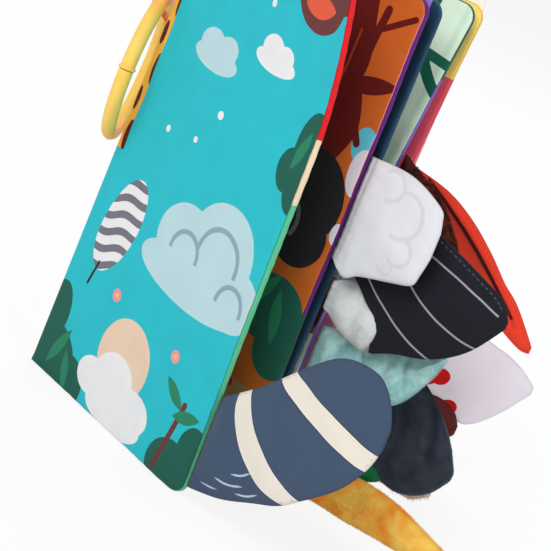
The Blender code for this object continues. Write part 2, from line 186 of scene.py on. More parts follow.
def tune(shader, sockets):
    for socket, value in sockets.items():
        shader.inputs[socket].default_value = value


def roughen(tree, shader, height, strength, distance):
    lifted = add(tree, "ShaderNodeBump", {"Height": height, "Strength": strength, "Distance": distance})
    give(tree, shader.inputs["Normal"], lifted.outputs["Normal"])


def moved(tree, place, x, z, wide=1.0, high=1.0, turn=0.0):
    made = add(tree, "ShaderNodeMapping", {"Vector": place}, vector_type="TEXTURE")
    made.inputs["Location"].default_value = (x, z, 0)
    made.inputs["Rotation"].default_value = (0, 0, math.radians(turn))
    made.inputs["Scale"].default_value = (wide, high, 1)
    return made.outputs["Vector"]


def least(tree, values):
    found = values[0]
    for value in values[1:]:
        found = sums(tree, "MINIMUM", found, value)
    return found


def inRange(tree, value, low, high):
    above = sums(tree, "GREATER_THAN", value, low)
    return sums(tree, "MULTIPLY", above, sums(tree, "LESS_THAN", value, high))


def wavy(tree, value, run, wave, length):
    # a value that rises and falls along a run
    if not wave:
        return value
    swing = sums(tree, "SINE", sums(tree, "MULTIPLY", run, 2 * math.pi / length))
    return sums(tree, "ADD", value, sums(tree, "MULTIPLY", swing, wave))


# Marks of a print: each gives 1 inside and 0 outside, and all places are millimetres on the cloth
def spot(tree, place, x, z, wide, high=None, turn=0):
    reach = vectorSums(tree, "LENGTH", moved(tree, place, x, z, wide, high or wide, turn))
    return sums(tree, "LESS_THAN", reach, 1)


def cluster(tree, place, rows):
    # ovals that run together
    reaches = [vectorSums(tree, "LENGTH", moved(tree, place, *row)) for row in rows]
    return sums(tree, "LESS_THAN", least(tree, reaches), 1)


def blade(tree, place, x, z, long, wide, turn=0):
    # a pointed leaf: where two circles cross
    radius = (long * long + wide * wide) / (2 * wide)
    at = moved(tree, place, x, z, turn=turn)
    one = vectorSums(tree, "DISTANCE", at, (0, radius - wide, 0))
    other = vectorSums(tree, "DISTANCE", at, (0, wide - radius, 0))
    return sums(tree, "LESS_THAN", sums(tree, "MAXIMUM", one, other), radius)


def stroke(tree, place, x, z, long, thick, turn=0):
    # a straight line with round ends
    at = vectorSums(tree, "ABSOLUTE", moved(tree, place, x, z, turn=turn))
    past = vectorSums(tree, "MAXIMUM", vectorSums(tree, "SUBTRACT", at, (long / 2, 0, 0)), (0, 0, 0))
    return sums(tree, "LESS_THAN", vectorSums(tree, "LENGTH", past), thick / 2)


def bow(tree, place, x, z, radius, thick, low=None, turn=0):
    # a ring, or its upper part above low
    at = moved(tree, place, x, z, turn=turn)
    line = sums(tree, "ABSOLUTE", sums(tree, "SUBTRACT", vectorSums(tree, "LENGTH", at), radius))
    inside = sums(tree, "LESS_THAN", line, thick / 2)
    if low is None:
        return inside
    return sums(tree, "MULTIPLY", inside, sums(tree, "GREATER_THAN", axis(tree, at, "Y"), low))


def bar(tree, place, low, high, wave=0.0, length=40.0):
    # a band between two heights, with wavy edges
    return inRange(tree, wavy(tree, axis(tree, place, "Y"), axis(tree, place, "X"), wave, length), low, high)


def stripes(tree, place, step, thick, turn=0, bend=0.0, length=60.0):
    at = moved(tree, place, 0, 0, turn=turn)
    height = wavy(tree, axis(tree, at, "Y"), axis(tree, at, "X"), bend, length)
    return sums(tree, "LESS_THAN", sums(tree, "PINGPONG", height, step / 2), thick / 2)


def patch(tree, place, left, right, low, high, wave=0.0, length=40.0):
    # a block whose two sides may wave
    z = axis(tree, place, "Y")
    x = wavy(tree, axis(tree, place, "X"), z, wave, length)
    return sums(tree, "MULTIPLY", inRange(tree, x, left, right), inRange(tree, z, low, high))


def between(tree, place, x, z, radius, x2, z2, radius2):
    # inside one circle and outside another
    inside = sums(tree, "LESS_THAN", vectorSums(tree, "DISTANCE", place, (x, z, 0)), radius)
    outside = sums(tree, "GREATER_THAN", vectorSums(tree, "DISTANCE", place, (x2, z2, 0)), radius2)
    return sums(tree, "MULTIPLY", inside, outside)


def trail(tree, place, points, thick):
    # a bent line through points
    reaches = []
    for (x, z), (x2, z2) in zip(points, points[1:]):
        long = math.hypot(x2 - x, z2 - z)
        at = moved(tree, place, x, z, turn=math.degrees(math.atan2(z2 - z, x2 - x)))
        held = vectorSums(tree, "MAXIMUM", vectorSums(tree, "MULTIPLY", at, (1, 0, 0)), (0, 0, 0))
        held = vectorSums(tree, "MINIMUM", held, (long, 0, 0))
        reaches.append(vectorSums(tree, "LENGTH", vectorSums(tree, "SUBTRACT", at, held)))
    return sums(tree, "LESS_THAN", least(tree, reaches), thick / 2)


markMakers = dict(spot=spot, cluster=cluster, blade=blade, stroke=stroke, bow=bow, bar=bar, stripes=stripes,
                  patch=patch, between=between, trail=trail)


def layMarks(tree, place, colour, rows):
    # a row that ends in "within" stays inside the mark before it
    before = None
    for tone, kind, sizes, *rest in rows:
        inside = markMakers[kind](tree, place, **sizes)
        if rest:
            inside = sums(tree, "MULTIPLY", inside, before)
        else:
            before = inside
        colour = mixPaint(tree, inside, colour, paint(*tone))
    return colour


white = (234, 232, 233)
paleBlue = (184, 214, 220)
greyBlue = (140, 165, 180)
darkGreen = (28, 92, 78)
midGreen = (40, 128, 95)
brown = (105, 52, 52)
peach = (232, 203, 178)
charcoal = (30, 28, 34)
grey = (115, 115, 125)
maroon = (92, 18, 14)
sunYellow = (248, 204, 70)
pagePale = (212, 233, 210)
vineGreen = (18, 92, 74)
seaBlue = (39, 187, 200)
tapeYellow = (242, 178, 62)
tapeBrown = (84, 22, 12)
petalPink = (240, 150, 170)
ashGrey = (96, 104, 102)
offWhite = (246, 238, 226)
paperWhite = (240, 240, 240)
corn = (250, 215, 120)

# Each print: its ground and the marks laid over it in turn; "within" keeps a mark inside the one before it
prints = {
    "front_cover_front_cloth": dict(ground=seaBlue, marks=[
        (darkGreen, "cluster", dict(rows=((8, 10, 20, 16), (26, 4, 14, 13), (3, 30, 10, 15)))),
        (midGreen, "blade", dict(x=14, z=16, long=12, wide=3, turn=65)),
        (midGreen, "blade", dict(x=24, z=8, long=10, wide=2.5, turn=110)),
        (peach, "spot", dict(x=60, z=33, wide=19)),
        (white, "cluster", dict(rows=((44, 16, 12, 9), (58, 20, 15, 14), (76, 15, 14, 10), (66, 8, 22, 9)))),
        (darkGreen, "cluster", dict(rows=((112, 6, 16, 14), (122, 20, 9, 12)))),
        (brown, "stroke", dict(x=106, z=20, long=34, thick=3, turn=80)),
        (midGreen, "blade", dict(x=112, z=32, long=9, wide=3, turn=20)),
        (midGreen, "blade", dict(x=100, z=38, long=9, wide=3, turn=150)),
        (paleBlue, "cluster", dict(rows=((84, 84, 40, 12), (70, 98, 20, 17), (94, 104, 23, 22),
                                         (112, 90, 18, 14)))),
        (greyBlue, "bow", dict(x=94, z=100, radius=14, thick=2.4, low=-2)),
        (greyBlue, "bow", dict(x=72, z=93, radius=10, thick=2.2, low=-1)),
        (greyBlue, "bow", dict(x=111, z=86, radius=9, thick=2.2, low=-1)),
        (white, "spot", dict(x=24, z=84, wide=13, high=25, turn=-14)),
        (grey, "stripes", dict(step=8, thick=3.6, turn=14, bend=1.2, length=26), "within"),
        (charcoal, "stroke", dict(x=18, z=57, long=12, thick=1.6, turn=78)),
        (paleBlue, "cluster", dict(rows=((44, 176, 17, 6), (38, 181, 9, 7), (50, 182, 8, 6)))),
        (white, "cluster", dict(rows=((84, 190, 15, 5), (80, 195, 8, 6), (90, 194, 6, 5)))),
        (white, "spot", dict(x=62, z=156, wide=2)),
        (white, "spot", dict(x=52, z=140, wide=1.5)),
        (white, "spot", dict(x=70, z=212, wide=1.8)),
        (white, "spot", dict(x=30, z=136, wide=1.7)),
        (sunYellow, "spot", dict(x=26, z=232, wide=17)),
        ((235, 165, 60), "bow", dict(x=26, z=232, radius=11, thick=1.6, low=-20)),
        (brown, "cluster", dict(rows=((104, 228, 19, 17), (88, 238, 10, 10), (121, 236, 9, 12)))),
        ((225, 90, 60), "blade", dict(x=104, z=222, long=12, wide=5, turn=8)),
        (peach, "spot", dict(x=98, z=235, wide=6, high=4)),
        (darkGreen, "cluster", dict(rows=((124, 166, 10, 17), (116, 154, 8, 10), (125, 146, 8, 9)))),
        (midGreen, "blade", dict(x=119, z=164, long=10, wide=2.6, turn=72)),
        (petalPink, "spot", dict(x=40, z=56, wide=3.2)),
        (sunYellow, "spot", dict(x=40, z=56, wide=1.2)),
        (petalPink, "spot", dict(x=92, z=52, wide=3)),
        (sunYellow, "spot", dict(x=92, z=52, wide=1.1)),
        (tapeYellow, "patch", dict(left=-9, right=4.4, low=114, high=260, wave=0.3, length=30)),
        (tapeBrown, "cluster", dict(rows=((3.4, 121, 2.4, 8), (0.2, 139, 1.7, 6), (4.6, 155, 2.4, 8),
                                          (0.8, 172, 1.7, 6), (4.2, 189, 2, 8), (0.6, 205, 1.8, 6),
                                          (4.6, 222, 2.2, 8))), "within"),
    ]),
    "front_cover_back_cloth": dict(ground=(90, 190, 145), marks=[
        ((235, 215, 180), "bar", dict(low=142, high=172)),
        ((222, 30, 38), "bar", dict(low=172, high=260)),
        ((60, 150, 110), "cluster", dict(rows=((20, 20, 26, 22), (60, 10, 30, 24), (100, 18, 24, 26)))),
        (white, "spot", dict(x=84, z=206, wide=12)),
        ((250, 190, 60), "spot", dict(x=40, z=196, wide=10)),
        ((235, 120, 60), "blade", dict(x=58, z=92, long=26, wide=9, turn=30)),
        (corn, "blade", dict(x=86, z=110, long=20, wide=7, turn=110)),
        (seaBlue, "patch", dict(left=-9, right=1.5, low=-9, high=104)),
        (tapeYellow, "patch", dict(left=-9, right=0.9, low=104, high=260, wave=0.25, length=22)),
        (tapeBrown, "cluster", dict(rows=((-1, 112, 2.2, 8), (-2.4, 128, 2, 6), (-0.6, 150, 2, 8),
                                          (-2.2, 168, 2, 6), (-0.4, 190, 2, 9),
                                          (-2, 214, 2, 8))), "within"),
    ]),
    # painted shade: the page darkens toward its hinge, where the leaves beside it shade it
    "leaf_2_front_cloth": dict(ground=(196, 98, 34), shadeFade=((92, 26, 16), 30, 108), marks=[
        ((90, 190, 215), "spot", dict(x=121, z=172, wide=6, high=8)),
        (maroon, "patch", dict(left=60, right=104, low=146, high=260, wave=4, length=74)),
        (maroon, "patch", dict(left=70, right=110, low=148, high=194, wave=5, length=64)),
        (maroon, "stroke", dict(x=76, z=214, long=70, thick=7, turn=78)),
        (maroon, "stroke", dict(x=92, z=226, long=44, thick=4.5, turn=62)),
        (maroon, "stroke", dict(x=106, z=214, long=30, thick=4, turn=84)),
        (maroon, "blade", dict(x=112, z=196, long=16, wide=4, turn=18)),
        (maroon, "stroke", dict(x=96, z=192, long=50, thick=8, turn=86)),
        (maroon, "stroke", dict(x=110, z=182, long=26, thick=3.6, turn=124)),
        (maroon, "stroke", dict(x=113, z=224, long=22, thick=2.8, turn=36)),
        ((150, 62, 24), "stroke", dict(x=97.5, z=198, long=36, thick=1.2, turn=88)),
        ((120, 30, 16), "cluster", dict(rows=((50, 226, 16, 12), (30, 236, 18, 10)))),
        (charcoal, "cluster", dict(rows=((80, 134, 30, 28), (104, 140, 19, 22), (108, 122, 14, 14),
                                         (52, 112, 26, 20)))),
        (ashGrey, "bow", dict(x=92, z=126, radius=12, thick=2.2, low=-6)),
        (ashGrey, "bow", dict(x=92, z=126, radius=7.5, thick=2, low=-5)),
        (ashGrey, "bow", dict(x=70, z=118, radius=10, thick=2, low=-5)),
        (darkGreen, "cluster", dict(rows=((108, 86, 18, 16), (84, 76, 18, 16), (118, 70, 12, 14)))),
        (midGreen, "blade", dict(x=100, z=90, long=15, wide=3.2, turn=58)),
        (midGreen, "blade", dict(x=112, z=84, long=13, wide=3, turn=100)),
        ((170, 128, 78), "bar", dict(low=-5, high=52, wave=4, length=90)),
        ((205, 30, 26), "cluster", dict(rows=((92, 46, 12, 5), (74, 38, 13, 5)))),
        ((110, 20, 14), "bar", dict(low=-5, high=26, wave=5, length=70)),
        ((216, 213, 223), "cluster", dict(rows=((124, 160, 5.5, 11), (124.5, 131, 3, 5)))),
        ((246, 140, 160), "patch", dict(left=124.4, right=135, low=150, high=260)),
    ]),
    "leaf_2_back_cloth": dict(ground=(95, 32, 118), marks=[
        ((60, 20, 90), "cluster", dict(rows=((30, 40, 34, 30), (80, 30, 40, 26)))),
        ((25, 80, 60), "bar", dict(low=60, high=92, wave=3, length=50)),
        ((196, 160, 105), "bar", dict(low=-5, high=60, wave=3, length=60)),
        (corn, "spot", dict(x=66, z=196, wide=13)),
        (white, "spot", dict(x=30, z=160, wide=2)),
        (white, "spot", dict(x=96, z=150, wide=2)),
        (white, "spot", dict(x=40, z=222, wide=1.6)),
    ]),
    "leaf_3_front_cloth": dict(ground=(150, 130, 210), marks=[
        ((110, 90, 180), "cluster", dict(rows=((20, 30, 40, 50), (80, 20, 46, 54), (116, 50, 24, 30)))),
        ((240, 235, 245), "cluster", dict(rows=((50, 176, 22, 9), (64, 184, 14, 11), (36, 182, 12, 9)))),
        (sunYellow, "spot", dict(x=92, z=210, wide=12)),
        ((26, 56, 80), "patch", dict(left=119, right=140, low=-9, high=260)),
    ]),
    "leaf_3_back_cloth": dict(ground=(28, 66, 92), marks=[
        ((20, 44, 66), "cluster", dict(rows=((10, 20, 50, 60), (90, 10, 50, 66)))),
        ((120, 170, 190), "bow", dict(x=60, z=190, radius=20, thick=3)),
        (paperWhite, "spot", dict(x=60, z=190, wide=10)),
        (paperWhite, "spot", dict(x=96, z=150, wide=2)),
        (paperWhite, "spot", dict(x=30, z=140, wide=2)),
    ]),
    "leaf_4_front_cloth": dict(ground=pagePale, marks=[
        # painted shade: three faint darker strokes near the fore edge, for soft creases
        ((202, 228, 204), "stroke", dict(x=104, z=150, long=150, thick=3.4, turn=88)),
        ((206, 232, 208), "stroke", dict(x=113, z=120, long=170, thick=2.2, turn=91)),
        ((198, 224, 200), "stroke", dict(x=121, z=150, long=180, thick=2.6, turn=90)),
        (vineGreen, "bow", dict(x=150, z=236, radius=44, thick=5)),
        (vineGreen, "stroke", dict(x=100, z=216, long=60, thick=4.4, turn=-8)),
        (vineGreen, "bow", dict(x=40, z=262, radius=70, thick=5)),
        (vineGreen, "blade", dict(x=88, z=232, long=16, wide=6, turn=40)),
        ((110, 170, 120), "cluster", dict(rows=((20, 20, 40, 40), (80, 10, 50, 34), (120, 30, 20, 20)))),
        ((240, 190, 90), "spot", dict(x=60, z=120, wide=13)),
        ((150, 84, 30), "spot", dict(x=122, z=94, wide=10, high=14)),
        ((92, 44, 18), "spot", dict(x=127, z=92, wide=7, high=9)),
    ]),
    "leaf_4_back_cloth": dict(ground=(24, 96, 78), marks=[
        ((120, 100, 190), "bar", dict(low=-5, high=206)),
        ((150, 200, 120), "blade", dict(x=60, z=130, long=34, wide=10, turn=60)),
        ((190, 220, 150), "blade", dict(x=84, z=96, long=30, wide=9, turn=115)),
        ((240, 200, 110), "spot", dict(x=44, z=190, wide=9)),
    ]),
    "leaf_5_front_cloth": dict(ground=(240, 92, 110), marks=[
        ((252, 218, 112), "bar", dict(low=206, high=260)),
        # painted highlight: a paler pink band over the lower part of the page
        ((238, 140, 156), "bar", dict(low=-5, high=150, wave=3, length=44)),
        ((250, 240, 230), "spot", dict(x=60, z=186, wide=12)),
    ]),
    "leaf_5_back_cloth": dict(ground=(240, 200, 110), marks=[
        ((222, 78, 96), "patch", dict(left=121, right=140, low=-9, high=206)),
        ((226, 92, 92), "cluster", dict(rows=((22, 20, 34, 34), (70, 10, 40, 40), (112, 24, 26, 30)))),
        ((250, 245, 235), "cluster", dict(rows=((44, 186, 22, 9), (58, 194, 14, 11)))),
        (midGreen, "blade", dict(x=92, z=120, long=30, wide=8, turn=70)),
        (midGreen, "blade", dict(x=70, z=112, long=26, wide=7, turn=120)),
    ]),
    "back_cover_front_cloth": dict(ground=(236, 140, 158), marks=[
        (offWhite, "patch", dict(left=96, right=140, low=218, high=260, wave=2, length=30)),
        ((250, 222, 180), "bar", dict(low=-5, high=70, wave=5, length=80)),
        ((214, 66, 88), "cluster", dict(rows=((30, 70, 16, 26), (46, 60, 12, 20)))),
        ((250, 245, 240), "cluster", dict(rows=((80, 190, 24, 9), (92, 198, 13, 11), (66, 196, 12, 9)))),
        ((245, 190, 90), "spot", dict(x=34, z=204, wide=13)),
        (midGreen, "blade", dict(x=94, z=86, long=26, wide=7, turn=80)),
        (midGreen, "blade", dict(x=80, z=80, long=22, wide=6, turn=125)),
    ]),
    "back_cover_back_cloth": dict(ground=seaBlue, marks=[
        (offWhite, "patch", dict(left=96, right=140, low=218, high=260, wave=2, length=30)),
        (darkGreen, "cluster", dict(rows=((16, 8, 26, 22), (60, 2, 30, 18), (108, 10, 26, 24)))),
        (white, "cluster", dict(rows=((40, 190, 20, 8), (54, 197, 13, 10), (28, 196, 10, 8)))),
        (paleBlue, "cluster", dict(rows=((86, 130, 26, 10), (98, 138, 15, 12), (72, 138, 12, 10)))),
        (sunYellow, "spot", dict(x=98, z=214, wide=13)),
        (peach, "blade", dict(x=52, z=74, long=24, wide=8, turn=62)),
        ((235, 120, 70), "blade", dict(x=74, z=82, long=24, wide=8, turn=110)),
    ]),
}


# Woven cloth: fine crossing threads, soft colour change, a little sheen, and painted shade in the seams
def weave(tree, shader, place, colour, thread=0.45, rough=0.85, sheen=0.08, bump=0.25, cloudy=0.08):
    soft = sums(tree, "MULTIPLY_ADD", noise(tree, place, 0.06, 3.0), cloudy * 2, 1 - cloudy)
    uneven = {"Distortion": 0.6, "Detail": 1.0, "Detail Scale": 2.0}
    waves = [ribbed(tree, place, 0.314 / thread, turn, **uneven) for turn in (0, 90)]
    crossed = sums(tree, "MAXIMUM", *waves)
    tone = sums(tree, "MULTIPLY", soft, sums(tree, "MULTIPLY_ADD", crossed, 0.08, 0.95))
    tint(tree, shader, colour, sums(tree, "MULTIPLY", tone, seamLight(tree, 0.55)))
    tune(shader, {"Roughness": rough, "Specular IOR Level": 0.15, "Sheen Weight": sheen,
                  "Sheen Roughness": 0.5})
    height = sums(tree, "ADD", sums(tree, "MULTIPLY", crossed, 0.35), noise(tree, place, 0.35, 4.0))
    roughen(tree, shader, height, bump, 0.0003)


def printedCloth(name, ground, marks, shadeFade=None):
    made, tree, shader = startFinish(name)
    place = printPlace(tree)
    colour = paint(*ground)
    # painted shade: a fade lays a darker colour in toward the hinge, from low to high across the cloth
    if shadeFade:
        other, low, high = shadeFade
        colour = mixPaint(tree, ramp(tree, axis(tree, place, "X"), low, high), paint(*other), colour)
    weave(tree, shader, place, layMarks(tree, place, colour, marks))
    return made


def tailCloth(name, ground, marks, rough=0.8, fleck=0.08):
    made, tree, shader = startFinish(name)
    place = printPlace(tree)
    flat = vectorSums(tree, "MULTIPLY", place, (1, 1, 0))
    weave(tree, shader, place, layMarks(tree, flat, paint(*ground), marks), 0.5, rough, 0.08, 0.3, fleck)
    return made


def plainPlush(name, colour, second=None, fleck=0.5, sheen=0.6, mottle=0.12, sheenTint=None):
    made, tree, shader = startFinish(name)
    place = printPlace(tree)
    share = ramp(tree, noise(tree, place, mottle, 4.0, Distortion=0.6), 0.38, 0.62)
    base = mixPaint(tree, share, paint(*colour), paint(*(second or colour)))
    fibre = noise(tree, moved(tree, place, 0, 0, 1.6, 0.6), 1.3, 5.0, Roughness=0.7)
    tone = sums(tree, "MULTIPLY_ADD", fibre, fleck, 1 - fleck / 2)
    tint(tree, shader, base, sums(tree, "MULTIPLY", tone, seamLight(tree, 0.4)))
    tune(shader, {"Roughness": 0.95, "Specular IOR Level": 0.1, "Sheen Weight": sheen, "Sheen Roughness": 0.4,
                  "Sheen Tint": paint(*(sheenTint or second or colour))})
    roughen(tree, shader, fibre, 0.3, 0.0008)
    return made


def plainThread(name, colour):
    made, tree, shader = startFinish(name)
    twist = noise(tree, printPlace(tree), 3.0, 2.0)
    tint(tree, shader, paint(*colour), sums(tree, "MULTIPLY_ADD", twist, 0.3, 0.85))
    tune(shader, {"Roughness": 0.6, "Sheen Weight": 0.2})
    return made


def filmFinish():
    made, tree, shader = startFinish("crinkleFilm")
    ripple = noise(tree, printPlace(tree), 0.25, 5.0)
    tint(tree, shader, paint(214, 220, 226), sums(tree, "MULTIPLY_ADD", ripple, 0.2, 0.86))
    tune(shader, {"Roughness": 0.25})
    roughen(tree, shader, ripple, 0.6, 0.0006)
    return made


def waddingFinish():
    made, tree, shader = startFinish("whiteWadding")
    fibre = noise(tree, moved(tree, printPlace(tree), 0, 0, 3.0, 0.6, 20), 0.9, 6.0)
    tint(tree, shader, paint(244, 243, 238), sums(tree, "MULTIPLY_ADD", fibre, 0.25, 0.84))
    tune(shader, {"Roughness": 1.0})
    roughen(tree, shader, fibre, 0.5, 0.0008)
    return made


def ribbonFinish():
    made, tree, shader = startFinish("orangeRibbon")
    place = printPlace(tree)
    ribs = ribbed(tree, place, 0.62, 90, Distortion=0.2)
    tone = sums(tree, "MULTIPLY_ADD", ribs, 0.22, 0.82)
    fleck = sums(tree, "MULTIPLY_ADD", noise(tree, place, 1.4, 4.0), 0.2, 0.9)
    tint(tree, shader, paint(244, 128, 30), sums(tree, "MULTIPLY", tone, fleck))
    tune(shader, {"Roughness": 0.6, "Specular IOR Level": 0.3, "Sheen Weight": 0.15})
    roughen(tree, shader, ribs, 0.6, 0.0003)
    return made


def ringFinish():
    # clear golden plastic with faint flow marks and scuffs; painted glow: orange painted low down and by the
    # ribbon, for light glowing through the plastic
    made, tree, shader = startFinish("goldenPlastic")
    place = add(tree, "ShaderNodeTexCoord").outputs["Object"]
    share = ramp(tree, noise(tree, place, 45.0, 3.0, Distortion=0.8), 0.35, 0.65)
    colour = mixPaint(tree, share, paint(253, 204, 92), paint(254, 212, 106))
    high = axis(tree, place, "Z")
    # painted glow: orange near the foot of the ring and by the ribbon
    ends = sums(tree, "MAXIMUM", ramp(tree, high, 0.124, 0.112), ramp(tree, high, 0.178, 0.187))
    colour = mixPaint(tree, sums(tree, "MULTIPLY", ends, 0.62), colour, paint(248, 140, 30))
    give(tree, shader.inputs["Base Color"], colour)
    scuff = noise(tree, place, 420.0, 4.0)
    give(tree, shader.inputs["Roughness"], ramp(tree, scuff, 0.3, 0.8, 0.34, 0.46))
    tune(shader, {"IOR": 1.49, "Specular IOR Level": 0.22, "Subsurface Weight": 0.12,
                  "Subsurface Radius": (1, 0.7, 0.3), "Subsurface Scale": 0.002})
    roughen(tree, shader, scuff, 0.02, 0.0001)
    return made


# Places on a leaf: x out from its hinge line, z up, off toward its back
def leafSpot(leaf, x, z, off):
    low, middle, high = leaves[leaf]["twist"]
    share = z / leafSize["height"]
    # one smooth curve through the turns at the foot, half way up and at the top
    turn = (low * (2 * share - 1) * (share - 1) - middle * 4 * share * (share - 1)
            + high * share * (2 * share - 1))
    angle = np.radians(leaves[leaf]["heading"] + turn)
    root = hinges[leaf]
    return np.stack([root.x + x * np.cos(angle) - off * np.sin(angle),
                     root.y + x * np.sin(angle) + off * np.cos(angle), z + 0 * angle], -1)


def softWaves(x, z, seed, count, longest, shortest):
    # a smooth random surface between about -1 and 1
    draw = np.random.RandomState(seed)
    total = np.zeros_like(x)
    for step in range(count):
        length = longest * (shortest / longest) ** (step / max(1, count - 1))
        turn = draw.uniform(0, math.pi)
        phase = draw.uniform(0, 2 * math.pi)
        run = x * math.cos(turn) + z * math.sin(turn)
        total += np.sin(2 * math.pi * run / length + phase) / count ** 0.5
    return total


def meshPiece(name, points, faces, slots, shades, places):
    mesh = bpy.data.meshes.new(name)
    mesh.from_pydata(points.tolist(), [], faces)
    made = bpy.data.objects.new(name, mesh)
    bpy.context.scene.collection.objects.link(made)
    mesh.attributes.new("seamShade", "FLOAT", "POINT").data.foreach_set("value", shades.astype(np.float32))
    mesh.attributes.new("printPlace", "FLOAT_VECTOR", "POINT").data.foreach_set(
        "vector", places.astype(np.float32).ravel())
    mesh.polygons.foreach_set("material_index", slots)
    shell = bmesh.new()
    shell.from_mesh(mesh)
    bmesh.ops.recalc_face_normals(shell, faces=shell.faces)
    shell.to_mesh(mesh)
    shell.free()
    mesh.shade_smooth()
    return made


def quads(index, flip=False):
    # the faces of a grid of point numbers
    corners = [index[:-1, :-1], index[1:, :-1], index[1:, 1:], index[:-1, 1:]]
    corners = [corner.ravel() for corner in corners]
    return np.stack(corners[::-1] if flip else corners, -1).tolist()


# How a leaf is filled, waves and gathers; near its root, within tied and flat, it is held down
leafForm = dict(tied=22 * mm, crown=0.9, waves=(150, 46), curlFrom=0.717, gathered=0.2, gatherFade=6 * mm,
                creased=0.13, creases=(34, 13), flat=16 * mm)
# Where the ring rests in a shallow dent when the front cover is wide open, in millimetres
ringDent = dict(x=27, z=150, wide=15, high=24)
# Inside a leaf: how far the layers reach, and where their two faces lie from its two skins
leafFilling = dict(x=(6.2, 121, 44), z=(4, 236, 80), filmFlat=(114.8 * mm, 232 * mm), crinkled=0.1 * mm,
                   filmFaces=(1.5 * mm, 1.2 * mm), waddingFront=0.95 * mm, waddingBack=1.75 * mm)


def leafHalf(own, x, z):
    size = leafSize
    across = 1 - np.clip(2 * x / size["width"] - 1, -1, 1) ** 2
    along = 1 - np.clip(2 * z / size["height"] - 1, -1, 1) ** 2
    crown = np.sqrt(np.maximum(0, across * along))
    free = np.clip(x / leafForm["tied"], 0, 1) ** 2
    plain = (size["edge"] + (size["middle"] - size["edge"]) * crown) / 2
    aside, above = (x / mm - ringDent["x"]) / ringDent["wide"], (z / mm - ringDent["z"]) / ringDent["high"]
    dent = np.exp(-aside ** 2 - above ** 2)
    return plain + own["puff"] * mm * free * crown ** 2 * leafForm["crown"] - own.get("dent", 0) * mm * dent


def leafBend(own, x, z):
    # the whole leaf waves a little, most toward its fore edge, and an upper corner may curl
    out, start = np.clip(x / leafSize["width"], 0, 1), leafForm["curlFrom"]
    waves = softWaves(x / mm, z / mm, own["seed"], 5, *leafForm["waves"])
    corner = np.clip((z / leafSize["height"] - start) / (1 - start), 0, 1) ** 1.6 * out ** 2
    return own["wave"] * mm * out ** 1.6 * waves + own.get("curl", 0) * mm * corner


def leafPucker(own, x, z):
    # small gathers along the sewn edges, and faint creases in the crinkle film
    form, seed = leafForm, own["seed"]

    def gathers(gap, run, pitch, swing, phase=0):
        return np.exp(-gap / form["gatherFade"]) * np.sin(2 * math.pi * run / (pitch * mm) + swing + phase)

    fore = gathers(leafSize["width"] - x, z, 8.6, 2 * np.sin(z / (19 * mm)))
    foot = gathers(z, x, 8, 1.6 * np.sin(x / (13 * mm)), seed)
    top = gathers(leafSize["height"] - z, x, 8.3, seed * 2)
    crease = softWaves(x / mm, z / mm, seed + 1, 9, *form["creases"])
    free = np.clip(x / form["flat"], 0, 1)
    return free * mm * (form["gathered"] * (fore + foot + top) + form["creased"] * crease)


# The sewn edge, from the front face round to the back: (share of the way out, share of the half thickness)
edgeProfile = ((0, -1), (0.45, -0.99), (0.72, -0.94), (0.88, -0.86), (0.8, -0.76), (0.94, -0.62), (1, -0.34),
               (1, 0), (0.99, 0.34), (0.95, 0.62), (0.84, 0.84), (0.62, 0.95), (0.34, 0.99), (0, 1))
seamStep = 4
# painted shade in the groove of the sewn edge, darkest at its middle step
seamShadeRing = {seamStep - 1: 0.25, seamStep: 1.0, seamStep + 1: 0.25}


